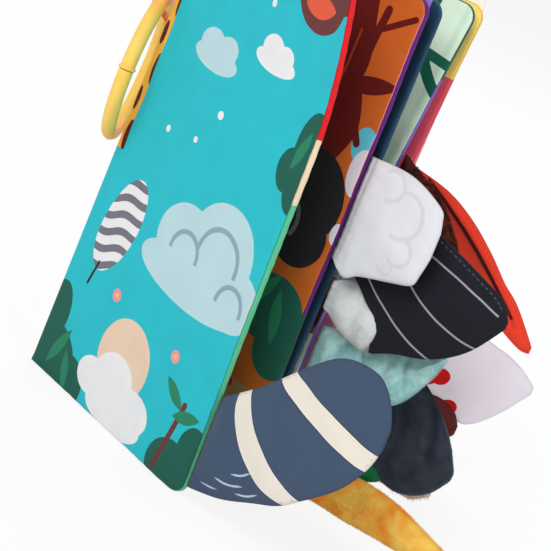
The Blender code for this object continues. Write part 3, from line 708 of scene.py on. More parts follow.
def makeLeaf(leaf):
    size, own = leafSize, leaves[leaf]
    rim, corner = size["rim"], size["corner"] - size["rim"]
    farX = size["width"] - rim
    arc = [farX - corner + corner * math.sin(math.radians(a)) for a in range(15, 91, 15)]
    columns = np.array(list(np.linspace(0, farX - corner, size["across"])) + arc)
    inset = corner - np.sqrt(np.maximum(0, corner ** 2 - np.maximum(0, columns - farX + corner) ** 2))
    rows = np.linspace(0, 1, size["along"] + 1)
    low = rim + inset
    x = np.repeat(columns[:, None], len(rows), 1)
    z = low[:, None] + rows[None, :] * (size["height"] - 2 * low)[:, None]
    n, m = x.shape
    index = np.arange(n * m).reshape(n, m)

    # the border of the grid, and the way out from it at each of its points
    border = [(i, 0) for i in range(n - 1)] + [(n - 1, j) for j in range(m - 1)]
    border += [(i, m - 1) for i in range(n - 1, 0, -1)] + [(0, j) for j in range(m - 1, 0, -1)]
    bi, bj = np.array(border).T
    bx, bz = x[bi, bj], z[bi, bj]
    angle = np.arcsin(np.clip((bx - farX + corner) / corner, 0, 1))
    root, fore, ends = bi == 0, bi == n - 1, (bj == 0) | (bj == m - 1)
    inner = root & ~ends
    nx = np.where(root, -1.0, np.where(fore, 1.0, np.sin(angle)))
    nz = np.where(ends & ~fore, np.cos(angle) * np.where(bj == 0, -1.0, 1.0), 0.0)

    points, shades, places = [], [], []

    def lay(xs, zs, offs, shade):
        points.append(leafSpot(leaf, xs, zs, offs + leafBend(own, xs, zs)))
        shades.append(np.zeros(xs.shape) + shade)
        places.append(np.stack([xs / mm, zs / mm, np.zeros_like(xs)], -1))

    skin = leafHalf(own, x, z) + leafPucker(own, x, z)
    for side in (-1, 1):
        lay(x.ravel(), z.ravel(), side * skin.ravel(), 0)
    steps = len(edgeProfile)
    bead = size["middle"] / 2
    for k in range(1, steps - 1):
        out, off = edgeProfile[k]
        turn = math.pi * k / (steps - 1)
        outs = np.where(root, math.sin(turn) * bead, out * rim)
        upward = np.where(root & ends, out * rim, outs)
        offs = np.where(inner, -math.cos(turn), off)
        thick = leafHalf(own, bx, bz) + leafPucker(own, bx, bz) * np.abs(offs)
        lay(bx + nx * outs, bz + nz * upward, offs * thick, np.where(root, 0, seamShadeRing.get(k, 0)))
    around = len(border)
    loops = [2 * n * m + k * around + np.arange(around) for k in range(steps - 2)]
    loops = [index[bi, bj], *loops, n * m + index[bi, bj]]
    faces = quads(index) + quads(index + n * m, flip=True)
    slots = [0] * (len(faces) // 2) + [1] * (len(faces) // 2)
    for k, (one, two) in enumerate(zip(loops, loops[1:])):
        faces += np.stack([two, np.roll(two, -1), np.roll(one, -1), one], -1).tolist()
        slots += [0 if k < seamStep else 1] * around
    made = meshPiece(leaf + "_panel", np.concatenate(points), faces, slots, np.concatenate(shades),
                     np.concatenate(places))
    for word in ("front_cloth", "back_cloth"):
        made.data.materials.append(printedCloth(f"{leaf}_{word}_print", **prints[f"{leaf}_{word}"]))
    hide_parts(leaf + "_front_cloth", leaf + "_back_cloth")
    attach(made, leaf)
    fillLeaf(leaf, own)


def fillLeaf(leaf, own):
    # inside: a wadding, and a crackling film behind it
    size = leafFilling
    x, z = np.meshgrid(np.linspace(*size["x"]) * mm, np.linspace(*size["z"]) * mm, indexing="ij")
    crinkle = softWaves(x / mm, z / mm, own["seed"] + 2, 9, 26, 7) * size["crinkled"]
    half = leafHalf(own, x, z)
    layers = {"_crinkle_film": [half - off + crinkle for off in size["filmFaces"]],
              "_wadding": (size["waddingFront"] - half, half - size["waddingBack"])}
    for word, offs in layers.items():
        faces = [leafSpot(leaf, x, z, leafBend(own, x, z) + off) for off in offs]
        inner = slabPiece(leaf + word + "_sheet", *faces, np.stack([x / mm, z / mm, 0 * x], -1))
        inner.data.materials.append(fillings[word])
        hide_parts(leaf + word)
        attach(inner, leaf)


def slabPiece(name, front, back, places):
    # a closed sheet between two faces
    n, m = front.shape[:2]
    index = np.arange(n * m).reshape(n, m)
    rim = np.concatenate([index[:, 0], index[-1, 1:], index[-2::-1, -1], index[0, -2:0:-1]])
    faces = quads(index) + quads(index + n * m, flip=True)
    faces += np.stack([np.roll(rim, -1), rim, rim + n * m, np.roll(rim, -1) + n * m], -1).tolist()
    points = np.concatenate([front.reshape(-1, 3), back.reshape(-1, 3)])
    spots = np.tile(places.reshape(-1, 3), (2, 1))
    return meshPiece(name, points, faces, [0] * len(faces), np.zeros(len(points)), spots)


def smoothRows(rows, count):
    # a smooth curve through the rows
    rows = np.array(rows, float)
    places = np.linspace(0, len(rows) - 1, count)
    i = np.minimum(places.astype(int), len(rows) - 2)
    t = (places - i)[:, None]
    before, here = rows[np.maximum(i - 1, 0)], rows[i]
    after, last = rows[i + 1], rows[np.minimum(i + 2, len(rows) - 1)]
    return 0.5 * (2 * here + (after - before) * t + (2 * before - 5 * here + 4 * after - last) * t ** 2
                  + (3 * here - before - 3 * after + last) * t ** 3)


# The tails, in millimetres: height of the foot on its leaf, length of its seam, reach, and fullness.
# outline: rows of (share of the reach, lower edge, upper edge), both edges as shares of the seam.
# Waves are (seed, count, longest, shortest). ripples: how much the thickness waves, how far in that starts,
# the waves. bends: how far, the waves. grooves: points, depth, width, darkness of the painted shade. lift:
# how far, then (x or z, where it starts, over what length). shadow, painted: x, z, fade, darkness. slit: an
# opening with painted shade, its points
flatTails = {
    "striped_tail": dict(
        leaf="front_cover", foot=6, seam=45.5, reach=95, full=7,
        outline=((0, 0, 1), (0.211, 0.136, 1.352), (0.421, 0.352, 1.791), (0.563, 0.505, 2.044),
                 (0.684, 0.714, 2.155), (0.821, 0.971, 2.185), (0.905, 1.176, 2.11), (0.968, 1.407, 1.965),
                 (1, 1.62, 1.82)),
        ripples=(0.3, 6, (41, 6, 40, 15)), bends=(0.5, (42, 3, 120, 60)),
        stitch=dict(inset=1.1, pitch=3.4, thread="slate", wide=0.14)),
    "satin_tail": dict(
        leaf="leaf_2", foot=121, seam=48.5, reach=45.4, full=4.5,
        outline=((0, 0, 1), (0.122, -0.082, 1.013), (0.217, -0.104, 1.022), (0.33, -0.032, 1.03),
                 (0.496, 0.024, 1.026), (0.702, 0.086, 0.982), (0.92, 0.164, 0.898), (0.966, 0.281, 0.82),
                 (1, 0.459, 0.706)),
        ripples=(0.12, 4, (43, 6, 26, 9)), bends=(0.4, (44, 3, 70, 34)),
        grooves=[(((1.6, -24), (1.8, 4), (2.4, 24)), 0.9, 0.9, 0.6)],
        stitch=dict(inset=1.4, pitch=3.0, thread="white")),
    "dark_tail": dict(
        leaf="leaf_3", foot=120, seam=35, reach=85, full=4.5,
        outline=((0, 0, 1), (0.129, -0.154, 1.029), (0.235, -0.343, 1.014), (0.312, -0.46, 0.985),
                 (0.33, -0.68, 0.974), (0.347, -0.87, 0.964), (0.435, -0.769, 0.931), (0.506, -0.689, 0.893),
                 (0.647, -0.566, 0.804), (0.765, -0.397, 0.727), (0.868, -0.166, 0.657),
                 (0.947, 0.1, 0.571), (1, 0.314, 0.4)),
        ripples=(0.2, 5, (45, 6, 38, 13)), bends=(0.6, (46, 3, 90, 44)),
        stitch=dict(inset=1.9, pitch=2.9, thread="grey", upper=True)),
    "crescent_tail": dict(
        leaf="back_cover", foot=116, seam=33.5, reach=93, full=4.5,
        outline=((0, 0, 1), (0.215, -0.164, 0.83), (0.398, -0.328, 0.552), (0.57, -0.552, 0.179),
                 (0.71, -0.731, -0.179), (0.817, -0.896, -0.409), (0.935, -1.06, -0.761),
                 (1, -1.075, -0.97)),
        bends=(0.5, (47, 3, 80, 40)),
        slit=((6, 14.5), (20.2, 5.7), (35.6, -4.7), (46, -12.5), (55.9, -20.6), (70.1, -32.7), (80, -42)),
        stitch=dict(inset=1.8, pitch=3.0, thread="red")),
    "fan_tail": dict(
        leaf="back_cover", foot=68, seam=27, reach=103.5, full=4,
        outline=((0, 0, 1), (0.232, -0.222, 0.889), (0.425, -0.68, 0.778), (0.531, -0.96, 0.63),
                 (0.638, -1.08, 0.5), (0.725, -1.28, 0.389), (0.812, -1.148, 0.289),
                 (0.899, -0.815, 0.13), (0.957, -0.519, -0.019), (1, -0.296, -0.148)),
        ripples=(0.15, 5, (48, 5, 40, 16)), bends=(0.5, (49, 3, 90, 50)), shadow=(62, -33, 10, 0.35),
        stitch=dict(inset=1.3, pitch=3.2, thread="white", wide=0.24, upper=True)),
}
plushTails = {
    "brown_fur_tail": dict(
        leaf="leaf_4", foot=126, seam=45, reach=40, full=11,
        outline=((0, 0, 1), (0.2, -0.03, 0.9), (0.4, -0.044, 0.83), (0.58, -0.03, 0.75), (0.79, 0.06, 0.6),
                 (0.93, 0.17, 0.48), (1, 0.27, 0.4)),
        pile=dict(count=9000, long=2.8, wide=0.34, seed=61, bent=True, messy=0.5, pressed=0.5)),
    "fluke_tail": dict(
        leaf="leaf_4", foot=61, seam=25, reach=60, full=12,
        outline=((0, 0, 1), (0.267, 0, 1.1), (0.533, 0.06, 1.22), (0.75, 0.368, 1.4), (0.847, 0.656, 1.47),
                 (0.93, 1.048, 1.55), (0.978, 1.348, 1.6), (1, 1.56, 1.62)),
        ripples=(0.35, 4, (51, 6, 22, 8)), bends=(0.4, (52, 3, 60, 30)),
        grooves=[(line, 1.2, 2.0, 0.2) for line in (
            ((12.5, 0), (14.7, 11)), ((28, 4), (24.7, 10.5)), ((36.8, 5), (38.5, 14)),
            ((47.5, 10), (44.5, 19)))],
        pile=dict(count=20000, long=0.9, wide=0.22, seed=63)),
    "green_tail": dict(
        leaf="leaf_4", foot=16, seam=23, reach=53, full=8,
        outline=((0, 0, 1), (0.32, 0.087, 0.957), (0.64, 0.35, 1), (0.87, 0.65, 1.04), (0.934, 0.74, 1),
                 (0.975, 0.8, 0.92), (1, 0.84, 0.87)),
        pile=dict(count=14000, long=0.8, wide=0.22, seed=64)),
    "velvet_tail": dict(
        leaf="leaf_5", foot=47, seam=18, reach=76, full=12,
        outline=((0, 0, 1), (0.258, -0.25, 1.389), (0.439, -0.667, 1.722), (0.587, -1, 1.833),
                 (0.71, -1.111, 1.556), (0.826, -0.972, 1.111), (0.916, -0.694, 0.667),
                 (0.981, -0.278, 0.222), (1, -0.111, 0.056)),
        bends=(0.4, (53, 3, 80, 40)),
        grooves=[(((44, 24), (49.1, 21.6), (56.5, 13.2), (60.4, 5.5), (63.5, -6.7)), 2.3, 2.6, 0.5),
                 (((30, 26), (40, 16), (46, 4), (48, -8)), 0.8, 3.0, 0.22)],
        pile=dict(count=22000, long=0.7, wide=0.2, seed=65)),
    "beige_fur_tail": dict(
        leaf="leaf_5", foot=12, seam=17, reach=69, full=8,
        outline=((0, 0, 1), (0.243, 0.2, 1.05), (0.419, 0.37, 1.1), (0.51, 0.56, 1.14), (0.63, 0.8, 1.2),
                 (0.74, 0.78, 1.24), (0.88, 0.79, 1.28), (0.94, 0.93, 1.27), (1, 1.15, 1.22)),
        bends=(0.3, (57, 3, 50, 24)), lift=(3.4, ("x", 20, 20)),
        pile=dict(count=6000, long=1.9, wide=0.3, seed=62, bent=True, messy=0.45)),
    "brown_tail": dict(
        leaf="back_cover", foot=22, seam=24, reach=74, full=9,
        outline=((0, 0, 1), (0.304, -0.104, 0.9), (0.595, -0.083, 0.87), (0.8, -0.02, 0.88),
                 (0.93, 0.05, 0.7), (0.98, 0.13, 0.5), (1, 0.22, 0.4)),
        pile=dict(count=16000, long=0.9, wide=0.22, seed=66)),
    "grey_tail": dict(
        leaf="leaf_3", foot=86, seam=24, reach=30, full=9,
        outline=((0, 0.42, 1), (0.15, 0.36, 1.13), (0.333, 0.24, 1.18), (0.5, 0.17, 1.1), (0.68, 0.11, 0.97),
                 (0.827, 0.11, 0.84), (0.93, 0.24, 0.74), (1, 0.46, 0.6)),
        bends=(0.4, (54, 3, 40, 20)), lift=(2.6, ("z", 2, 12), ("x", 0, 9)),
        grooves=[(((20, -8), (18, 4), (20, 13)), 1.2, 3.6, 0.2)],
        pile=dict(count=12000, long=0.6, wide=0.2, seed=67)),
    "orange_tail": dict(
        leaf="leaf_2", foot=9, seam=20, reach=131, full=13,
        outline=((0, 0, 1), (0.198, 0.4, 1.2), (0.283, 0.54, 1.42), (0.406, 0.57, 1.58), (0.489, 0.62, 1.62),
                 (0.588, 0.675, 1.57), (0.695, 0.7, 1.42), (0.794, 0.675, 1.265), (0.916, 0.55, 1.1),
                 (0.977, 0.575, 0.975), (1, 0.7, 0.85)),
        ripples=(0.4, 4, (55, 6, 36, 12)), bends=(0.5, (56, 3, 110, 60)),
        pile=dict(count=26000, long=0.8, wide=0.22, seed=68)),
}


def tailFrame(name):
    # out along the leaf, across it and up it, and the middle of the tail's foot; a bead keeps it off the edge
    bead, tail = (1.3 * mm, flatTails[name]) if name in flatTails else (2.0 * mm, plushTails[name])
    reach = np.array([leafSize["width"] + 0.3 * mm + bead] * 3)
    heights = np.array([tail["foot"], tail["foot"] + tail["seam"], tail["foot"] + tail["seam"] / 2]) * mm
    ends = leafSpot(tail["leaf"], reach, heights, np.zeros(3))
    start = leafSpot(tail["leaf"], np.zeros(3), heights, np.zeros(3))
    up = Vector(ends[1] - ends[0]).normalized()
    out = Vector(ends[2] - start[2]).normalized()
    across = up.cross(out).normalized()
    out = across.cross(up)
    return np.array((out, across, up)).T, (ends[0] + ends[1]) / 2


def nearTrail(x, z, points):
    # how far each place is from a bent line
    near = np.full(x.shape, 1e9)
    for p, q in zip(points, points[1:]):
        p, way = np.array(p, float), np.subtract(q, p)
        k = np.clip(((x - p[0]) * way[0] + (z - p[1]) * way[1]) / max(1e-9, float(way @ way)), 0, 1)
        near = np.minimum(near, np.hypot(x - p[0] - k * way[0], z - p[1] - k * way[1]))
    return near


def flatPlump(near, full):
    # a stitched rim, then a soft rise
    rimHalf = 0.75 * np.sqrt(np.clip(near / 0.9, 0, 1))
    rise = 1 - np.exp(-np.maximum(0, near - 0.8) / 5.5)
    return rimHalf + (full / 2 - 0.75) * rise


def fullPlump(near, full):
    # round in section: as thick as it is narrow, up to its full size
    k = np.clip(near / (full * 0.9), 0, 1)
    return full / 2 * np.sqrt(1 - (1 - k) ** 2)


tailGrid = dict(across=56, along=64, rows=90, tip=12, foot=5, footGathers=4.6, thinnest=0.12)


# A tail is a pillow: two faces that meet at its sewn outline, fuller away from it
def makeTail(name, tail, finish):
    flat, grid = name in flatTails, tailGrid
    turned, origin = tailFrame(name)
    rows = smoothRows(tail["outline"], grid["rows"])
    reach, seam = tail["reach"], tail["seam"]
    lowLine = np.stack([rows[:, 0] * reach, (rows[:, 1] - 0.5) * seam], -1)
    highLine = np.stack([rows[:, 0] * reach, (rows[:, 2] - 0.5) * seam], -1)
    tip = np.linspace(0, 1, grid["tip"])[1:-1, None]
    tipLine = lowLine[-1] * (1 - tip) + highLine[-1] * tip
    outline = np.concatenate([lowLine, tipLine, highLine[::-1]])
    xs = (1 - (1 - np.linspace(0, 1, grid["along"] + 1)) ** 1.5) * reach
    even = np.linspace(-1, 1, grid["across"] + 1)
    t = 0.5 + 0.5 * (0.75 * np.sin(even * math.pi / 2) + 0.25 * even)
    low = np.interp(xs, lowLine[:, 0], lowLine[:, 1])
    high = np.interp(xs, highLine[:, 0], highLine[:, 1])
    x = np.repeat(xs[:, None], len(t), 1)
    z = low[:, None] + (high - low)[:, None] * t[None, :]
    near = nearTrail(x, z, outline)

    # half its thickness: that of the cloth at the foot, then its filling, its own shape and small gathers
    foot = np.exp(-(x / grid["foot"]) ** 2)
    filled = (flatPlump if flat else fullPlump)(near, tail["full"])
    half = (1.15 if flat else 1.8) * foot * np.minimum(1, near / 0.6) ** 0.5 + filled * (1 - foot)
    half, bend, fold = shapeTail(tail, half, near, x, z)
    gathers = 0.25 * np.exp(-x / 4) * np.sin(2 * math.pi * z / grid["footGathers"])
    half = half + gathers * np.clip(near / 2, 0, 1)
    rim = np.zeros(x.shape, bool)
    rim[0, :] = rim[-1, :] = rim[:, 0] = rim[:, -1] = True
    half = np.where(rim, 0, np.maximum(half, grid["thinnest"]))
    x = x.copy()
    x[0, :] -= 0.9

    index = np.arange(x.size).reshape(x.shape)
    back = index.copy()
    back[~rim] = x.size + np.arange((~rim).sum())
    front = np.stack([x, bend - half, z], -1).reshape(-1, 3)
    rear = np.stack([x, bend + half, z], -1)[~rim]
    local = np.concatenate([front, rear])
    # painted shade: darker along the sewn outline, at the foot, and where fold is painted
    shade = np.exp(-near / 0.5) * 0.6 + np.exp(-x / 1.2) * 0.5 + fold
    faces = quads(index) + quads(back, flip=True)
    made = meshPiece(name + "_pillow", (local * mm) @ turned.T + origin, faces, [0] * len(faces),
                     np.concatenate([shade.ravel(), shade[~rim]]), local[:, [0, 2, 1]])
    made.data.materials.append(finish)
    nodes = [name + "_front_cloth", name + "_back_cloth"] if flat else [name]
    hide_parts(*nodes)
    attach(made, name)
    if flat:
        fillTail(name, np.stack([x, bend, z], -1)[3:-12:3, 6:-6:3], turned, origin)
        stitchTail(name, tail["stitch"], outline, turned, origin, bend, half, x, z)
    return made


def fillTail(name, middle, turned, origin):
    # a crinkle film in the middle of a flat tail
    sheet = [((middle + (0, off, 0)) * mm) @ turned.T + origin for off in (-0.2, 0.2)]
    film = slabPiece(name + "_film_sheet", *sheet, middle[..., [0, 2, 1]])
    film.data.materials.append(fillings["_crinkle_film"])
    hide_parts(name + "_crinkle_film")
    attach(film, name)


# One stitch is modelled once and copied along its row
def stitchModel():
    bpy.ops.mesh.primitive_uv_sphere_add(segments=6, ring_count=5, radius=0.5, rotation=(0, math.pi / 2, 0))
    made = bpy.context.object
    bpy.ops.object.transform_apply(location=False, rotation=True, scale=False)
    points = np.array([v.co for v in made.data.vertices])
    faces = [list(p.vertices) for p in made.data.polygons]
    bpy.data.objects.remove(made)
    bpy.ops.object.select_all(action="DESELECT")
    return points, faces


def unit(ways):
    return ways / np.linalg.norm(ways, axis=-1, keepdims=True)


def stitchRow(name, spots, along, outward, long, wide, body, finish):
    model, faces = stitches
    along, outward = unit(along), unit(outward)
    side = np.cross(along, outward)
    points = (spots[:, None] + along[:, None] * model[None, :, :1] * long
              + side[:, None] * model[None, :, 1:2] * wide
              + outward[:, None] * model[None, :, 2:] * wide * 0.8).reshape(-1, 3)
    copies = [[v + k * len(model) for v in face] for k in range(len(spots)) for face in faces]
    made = meshPiece(name, points, copies, [0] * len(copies), np.zeros(len(points)), points / mm)
    made.data.materials.append(finish)
    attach(made, body)


def stitchTail(name, row, outline, turned, origin, bend, half, x, z):
    # a row of stitches just inside the sewn outline, on both faces
    run = np.concatenate([[0], np.cumsum(np.linalg.norm(np.diff(outline, axis=0), axis=-1))])
    at = np.arange(row["pitch"], run[-1] - row["pitch"], row["pitch"])
    path = np.stack([np.interp(at, run, outline[:, k]) for k in (0, 1)], -1)
    way = unit(np.gradient(path, axis=0))
    inset = path + np.stack([-way[:, 1], way[:, 0]], -1) * row["inset"]
    inset = inset[(inset[:, 0] > 3) & ((inset[:, 1] > 0) | (not row.get("upper")))]
    way = np.gradient(inset, axis=0)

    # how the face lies under each stitch, from its four nearest points
    reach = (inset[:, 0, None] - x.ravel()) ** 2 + (inset[:, 1, None] - z.ravel()) ** 2
    close = np.argsort(reach, axis=1)[:, :4]
    weight = 1 / (np.take_along_axis(reach, close, 1) + 0.01)
    weight /= weight.sum(1, keepdims=True)
    middle = (bend.ravel()[close] * weight).sum(1)
    thick = (half.ravel()[close] * weight).sum(1) + 0.02
    spots = np.concatenate([np.stack([inset[:, 0], middle + side * thick, inset[:, 1]], -1)
                            for side in (-1, 1)])
    along = np.tile(np.stack([way[:, 0], 0 * middle, way[:, 1]], -1), (2, 1))
    outward = np.repeat(((0.0, -1.0, 0.0), (0.0, 1.0, 0.0)), len(inset), 0)
    stitchRow(name + "_stitches", (spots * mm) @ turned.T + origin, along @ turned.T, outward @ turned.T,
              row["pitch"] * 0.66 * mm, row.get("wide", 0.42) * mm, name, threads[row["thread"]])


def shapeTail(tail, half, near, x, z):
    # what makes each tail its own shape, and the painted shade (fold) in its grooves, under its slit and in
    # its shadow
    bend, fold = np.zeros_like(x), np.zeros_like(x)
    for points, deep, wide, dark in tail.get("grooves", ()):
        away = nearTrail(x, z, points)
        half = half - deep * np.exp(-(away / wide) ** 2)
        fold = fold + dark * np.exp(-(away / (wide * 0.6)) ** 2)
    if "slit" in tail:
        half, fold = openSlit(tail["slit"], half, near, x, z)
    if "shadow" in tail:
        atX, atZ, shadeFade, dark = tail["shadow"]
        fold = dark * np.exp(-np.hypot(x - atX, z - atZ) / shadeFade)
    if "ripples" in tail:
        deep, start, waves = tail["ripples"]
        half = half + deep * np.clip(near / start, 0, 1) * softWaves(x, z, *waves)
    if "bends" in tail:
        far, waves = tail["bends"]
        bend = far * softWaves(x, z, *waves)
    if "lift" in tail:
        lift, *runs = tail["lift"]
        for letter, start, length in runs:
            lift = lift * np.clip(((x if letter == "x" else z) - start) / length, 0, 1)
        bend = bend + lift
    return half, bend, fold


def openSlit(slit, half, near, x, z):
    # the red tail's opening: it gapes in the middle of its length, and the cloth below it is tucked under;
    # the opening and the cloth below it get painted shade
    away = nearTrail(x, z, slit)
    line = np.interp(x, [p[0] for p in slit], [p[1] for p in slit])
    below = np.clip((line - z) / 1.5, 0, 1) * np.clip((66 - x) / 16, 0, 1) * np.clip((x - 2) / 6, 0, 1)
    gaping = np.clip((x - 4) / 10, 0, 1) * np.clip((84 - x) / 20, 0, 1)
    half = half - 1.6 * gaping * np.exp(-(away / 1.6) ** 2) - 0.5 * below * np.exp(-away / 8)
    half = np.maximum(half, np.minimum(0.75, 0.45 + near * 0.1))
    return half, 1.6 * gaping * np.exp(-away ** 2) + 1.0 * below * np.exp(-away / 16)


# Pile: thin closed tufts that stand on the plush, longer and bent on the furs, shorter near the sewn foot
def addPile(piece, name, count, long, wide, seed, messy=0.35, bent=False, pressed=1.0):
    # long and wide are millimetres
    long, wide = long * mm, wide * mm
    draw = np.random.RandomState(seed)
    mesh = piece.data
    mesh.calc_loop_triangles()

    def read(rows, word, width, kind):
        values = np.empty(len(rows) * width, kind)
        rows.foreach_get(word, values)
        return values.reshape(-1, width)

    spots = read(mesh.vertices, "co", 3, float)
    places = read(mesh.attributes["printPlace"].data, "vector", 3, np.float32)
    corners = read(mesh.loop_triangles, "vertices", 3, np.int32)
    a, b, c = (spots[corners[:, k]] for k in range(3))
    normal = np.cross(b - a, c - a)
    area = np.linalg.norm(normal, axis=-1)
    normal = normal / np.maximum(area, 1e-12)[:, None]
    pick = draw.choice(len(corners), count, p=area / area.sum())
    u, v = draw.rand(count), draw.rand(count)
    u, v = np.where(u + v > 1, 1 - u, u)[:, None], np.where(u + v > 1, 1 - v, v)[:, None]
    root = a[pick] + u * (b - a)[pick] + v * (c - a)[pick]
    ink = [places[corners[pick, k]] for k in range(3)]
    ink = ink[0] + u * (ink[1] - ink[0]) + v * (ink[2] - ink[0])
    normal = normal[pick]
    turned = tailFrame(name)[0]
    lean = np.array((0.5, 0.0, -0.4)) @ turned.T
    way = unit(normal + lean + draw.normal(0, messy, (count, 3)))
    side = unit(np.cross(way, draw.normal(0, 1, (count, 3))))
    other = np.cross(way, side)
    size = (long * draw.uniform(0.55, 1.15, count))[:, None]
    pressing = np.clip(0.5 - normal @ turned[:, 1:2], 0, 1)
    size = size * (1 - (1 - pressed) * pressing) * np.clip(ink[:, :1] / 6, 0.2, 1)
    ring = [side, -0.5 * side + 0.87 * other, -0.5 * side - 0.87 * other]
    points = [root - normal * 0.15 * mm + r * wide / 2 for r in ring]
    # painted shade: the tufts are darker at their roots than toward their tips
    shades = [0.35] * 3
    if bent:
        points += [root + way * size * 0.5 + r * wide * 0.42 for r in ring]
        shades += [0.12] * 3
        points.append(root + (way + np.array((0, 0, -0.35)) + lean * 0.5) * size)
    else:
        points.append(root + way * size)
    shades.append(0)
    each = len(points)
    one = [[2, 1, 0]]
    for k in range(3):
        n = (k + 1) % 3
        one += [[k, n, n + 3], [k, n + 3, k + 3], [k + 3, n + 3, 6]] if bent else [[k, n, 3]]
    faces = (np.array(one)[None] + (np.arange(count) * each)[:, None, None]).reshape(-1, 3).tolist()
    made = meshPiece(name + "_pile", np.stack(points, 1).reshape(-1, 3), faces, [0] * len(faces),
                     np.tile(shades, count), np.repeat(ink[:, None], each, 1).reshape(-1, 3))
    made.data.materials.append(piece.data.materials[0])
    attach(made, name)


# Spine: one tape down its middle, a cloth strip over each pair of neighbouring leaf roots, and a ribbon loop
spineTape = dict(near=-3.7 * mm, far=-2.5 * mm, wide=5.2 * mm, height=240 * mm, fold=0.4 * mm, steps=60,
                 stitch=3.4 * mm, stitchAside=1.9 * mm)
spineStrip = dict(away=2.2 * mm, thick=0.4 * mm, low=1.5 * mm, high=238.5 * mm, sag=0.25 * mm,
                  ripple=0.08 * mm, pitch=7.1 * mm, blendEnd=2.4 * mm)
ribbonLoop = dict(height=184 * mm, out=13 * mm, radius=5 * mm, depth=4.5 * mm, spread=11 * mm, foot=12 * mm,
                  wide=8 * mm, thick=1 * mm, steps=18)
clipRing = dict(away=34 * mm, tube=3.5 * mm, slit=0.3 * mm, slitTurn=-86, turned=-2, ridge=0.14 * mm,
                steps=144, sides=24, collarTurn=-84, collar=0.7 * mm, hangs=(-9.804, 1.378, 184))
spineFrame = Matrix.Translation(spineFoot) @ Matrix.Rotation(math.radians(spineTurn), 4, "Z")


def onSpine(spots):
    turned = np.array(spineFrame)
    return spots @ turned[:3, :3].T + turned[:3, 3]


def spineStitches(name, spots, ways, long, wide):
    # rows of stitches on the outer side of the spine
    axes = np.array(spineFrame)[:3, :3]
    stitchRow(name, onSpine(spots), ways @ axes.T, np.tile(-axes[:, 0], (len(spots), 1)), long, wide, "spine",
              threads["yellow"])


def endModelling(made, across, matrix):
    # notes where each point lies on the cloth, then puts the piece in its place
    mesh = made.data
    places = np.array([across(v.co / mm) for v in mesh.vertices], np.float32)
    mesh.attributes.new("printPlace", "FLOAT_VECTOR", "POINT").data.foreach_set("vector", places.ravel())
    mesh.attributes.new("seamShade", "FLOAT", "POINT")
    mesh.transform(matrix)
    bpy.ops.object.shade_smooth_by_angle(angle=math.radians(40))
    bpy.ops.object.select_all(action="DESELECT")


def faceOutward():
    bpy.ops.mesh.select_all(action="SELECT")
    bpy.ops.mesh.normals_make_consistent(inside=False)
    bpy.ops.object.mode_set(mode="OBJECT")


def selectEdges(made, wanted):
    bpy.ops.mesh.select_mode(type="EDGE")
    bpy.ops.mesh.select_all(action="DESELECT")
    shape = bmesh.from_edit_mesh(made.data)
    for edge in shape.edges:
        edge.select_set(wanted((edge.verts[0].co + edge.verts[1].co) / 2))
    bmesh.update_edit_mesh(made.data)


def spineFinish(name):
    return printedCloth(name, (240, 184, 70), [
        (tapeBrown, "cluster", dict(rows=((-2, 18, 1.6, 5), (1.6, 36, 1.8, 6), (-0.6, 62, 2, 7),
                                          (2.2, 84, 1.5, 5), (-2.2, 104, 1.6, 7), (1, 126, 2, 6),
                                          (-1.4, 150, 1.8, 7), (2, 172, 1.6, 5), (-0.4, 196, 2, 7),
                                          (1.8, 220, 1.6, 6)))),
    ])


def makeTape():
    size = spineTape
    thick = size["far"] - size["near"]
    bpy.ops.mesh.primitive_plane_add(size=1)
    made = bpy.context.object
    made.name = "spine_tape_cloth"
    bpy.ops.transform.resize(value=(thick, size["wide"], 1))
    bpy.ops.object.transform_apply(location=False, rotation=False, scale=True)
    bpy.ops.object.mode_set(mode="EDIT")
    bpy.ops.mesh.select_all(action="SELECT")
    bpy.ops.mesh.bevel(affect="VERTICES", offset=size["fold"], segments=3)
    bpy.ops.mesh.select_all(action="SELECT")
    rise = size["height"] / size["steps"]
    for _ in range(size["steps"]):
        bpy.ops.mesh.extrude_region_move(TRANSFORM_OT_translate={"value": (0, 0, rise)})
    faceOutward()
    for point in made.data.vertices:
        gather = math.sin(2 * math.pi * point.co.z / (7.4 * mm) + math.copysign(1.2, point.co.y))
        point.co.y += 0.12 * mm * gather * math.copysign(1, point.co.y)
        point.co.x += (size["near"] + size["far"]) / 2
    endModelling(made, lambda at: (at.y, at.z, at.x), spineFrame)
    made.data.materials.append(tapeFinish)
    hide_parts("spine_tape")
    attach(made, "spine")
    rows = np.arange(3 * mm, size["height"] - 2 * mm, size["stitch"])
    out = 0 * rows + size["near"] - 0.02 * mm
    spots = np.concatenate([np.stack([out, 0 * rows + side * size["stitchAside"], rows], -1)
                            for side in (-1, 1)])
    ways = np.tile((0.0, 0.0, 1.0), (len(spots), 1))
    spineStitches("spine_tape_stitches", spots, ways, size["stitch"] * 0.66, 0.4 * mm)


def makeStrip(inner, outer):
    # cloth over the outer side of two roots
    size = spineStrip
    start, end = hinges[inner].to_2d(), hinges[outer].to_2d()
    way = (end - start).normalized()
    out = Vector((way.y, -way.x))
    if out.x > 0:
        out = -out
    across = np.linspace(0, 1, 9)
    heights = np.linspace(size["low"], size["high"], 81)
    u, z = np.meshgrid(across, heights, indexing="ij")
    dip = -size["sag"] * np.sin(math.pi * u) + size["ripple"] * np.sin(2 * math.pi * z / size["pitch"])
    faces = []
    for off in (-size["thick"] / 2, size["thick"] / 2):
        away = size["away"] + dip * np.sin(math.pi * u) - off
        flat = [start[k] + (end - start)[k] * u + out[k] * away for k in (0, 1)]
        faces.append(np.stack([flat[0], flat[1], z], -1))
    places = np.stack([(u - 0.5) * 5 + 1.5, z / mm + (30 if inner == "leaf_2" else 0), 0 * u], -1)
    made = slabPiece(f"{inner}_to_{outer}_spine_strip", *faces, places)
    made.data.materials.append(tapeFinish)
    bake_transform(made)


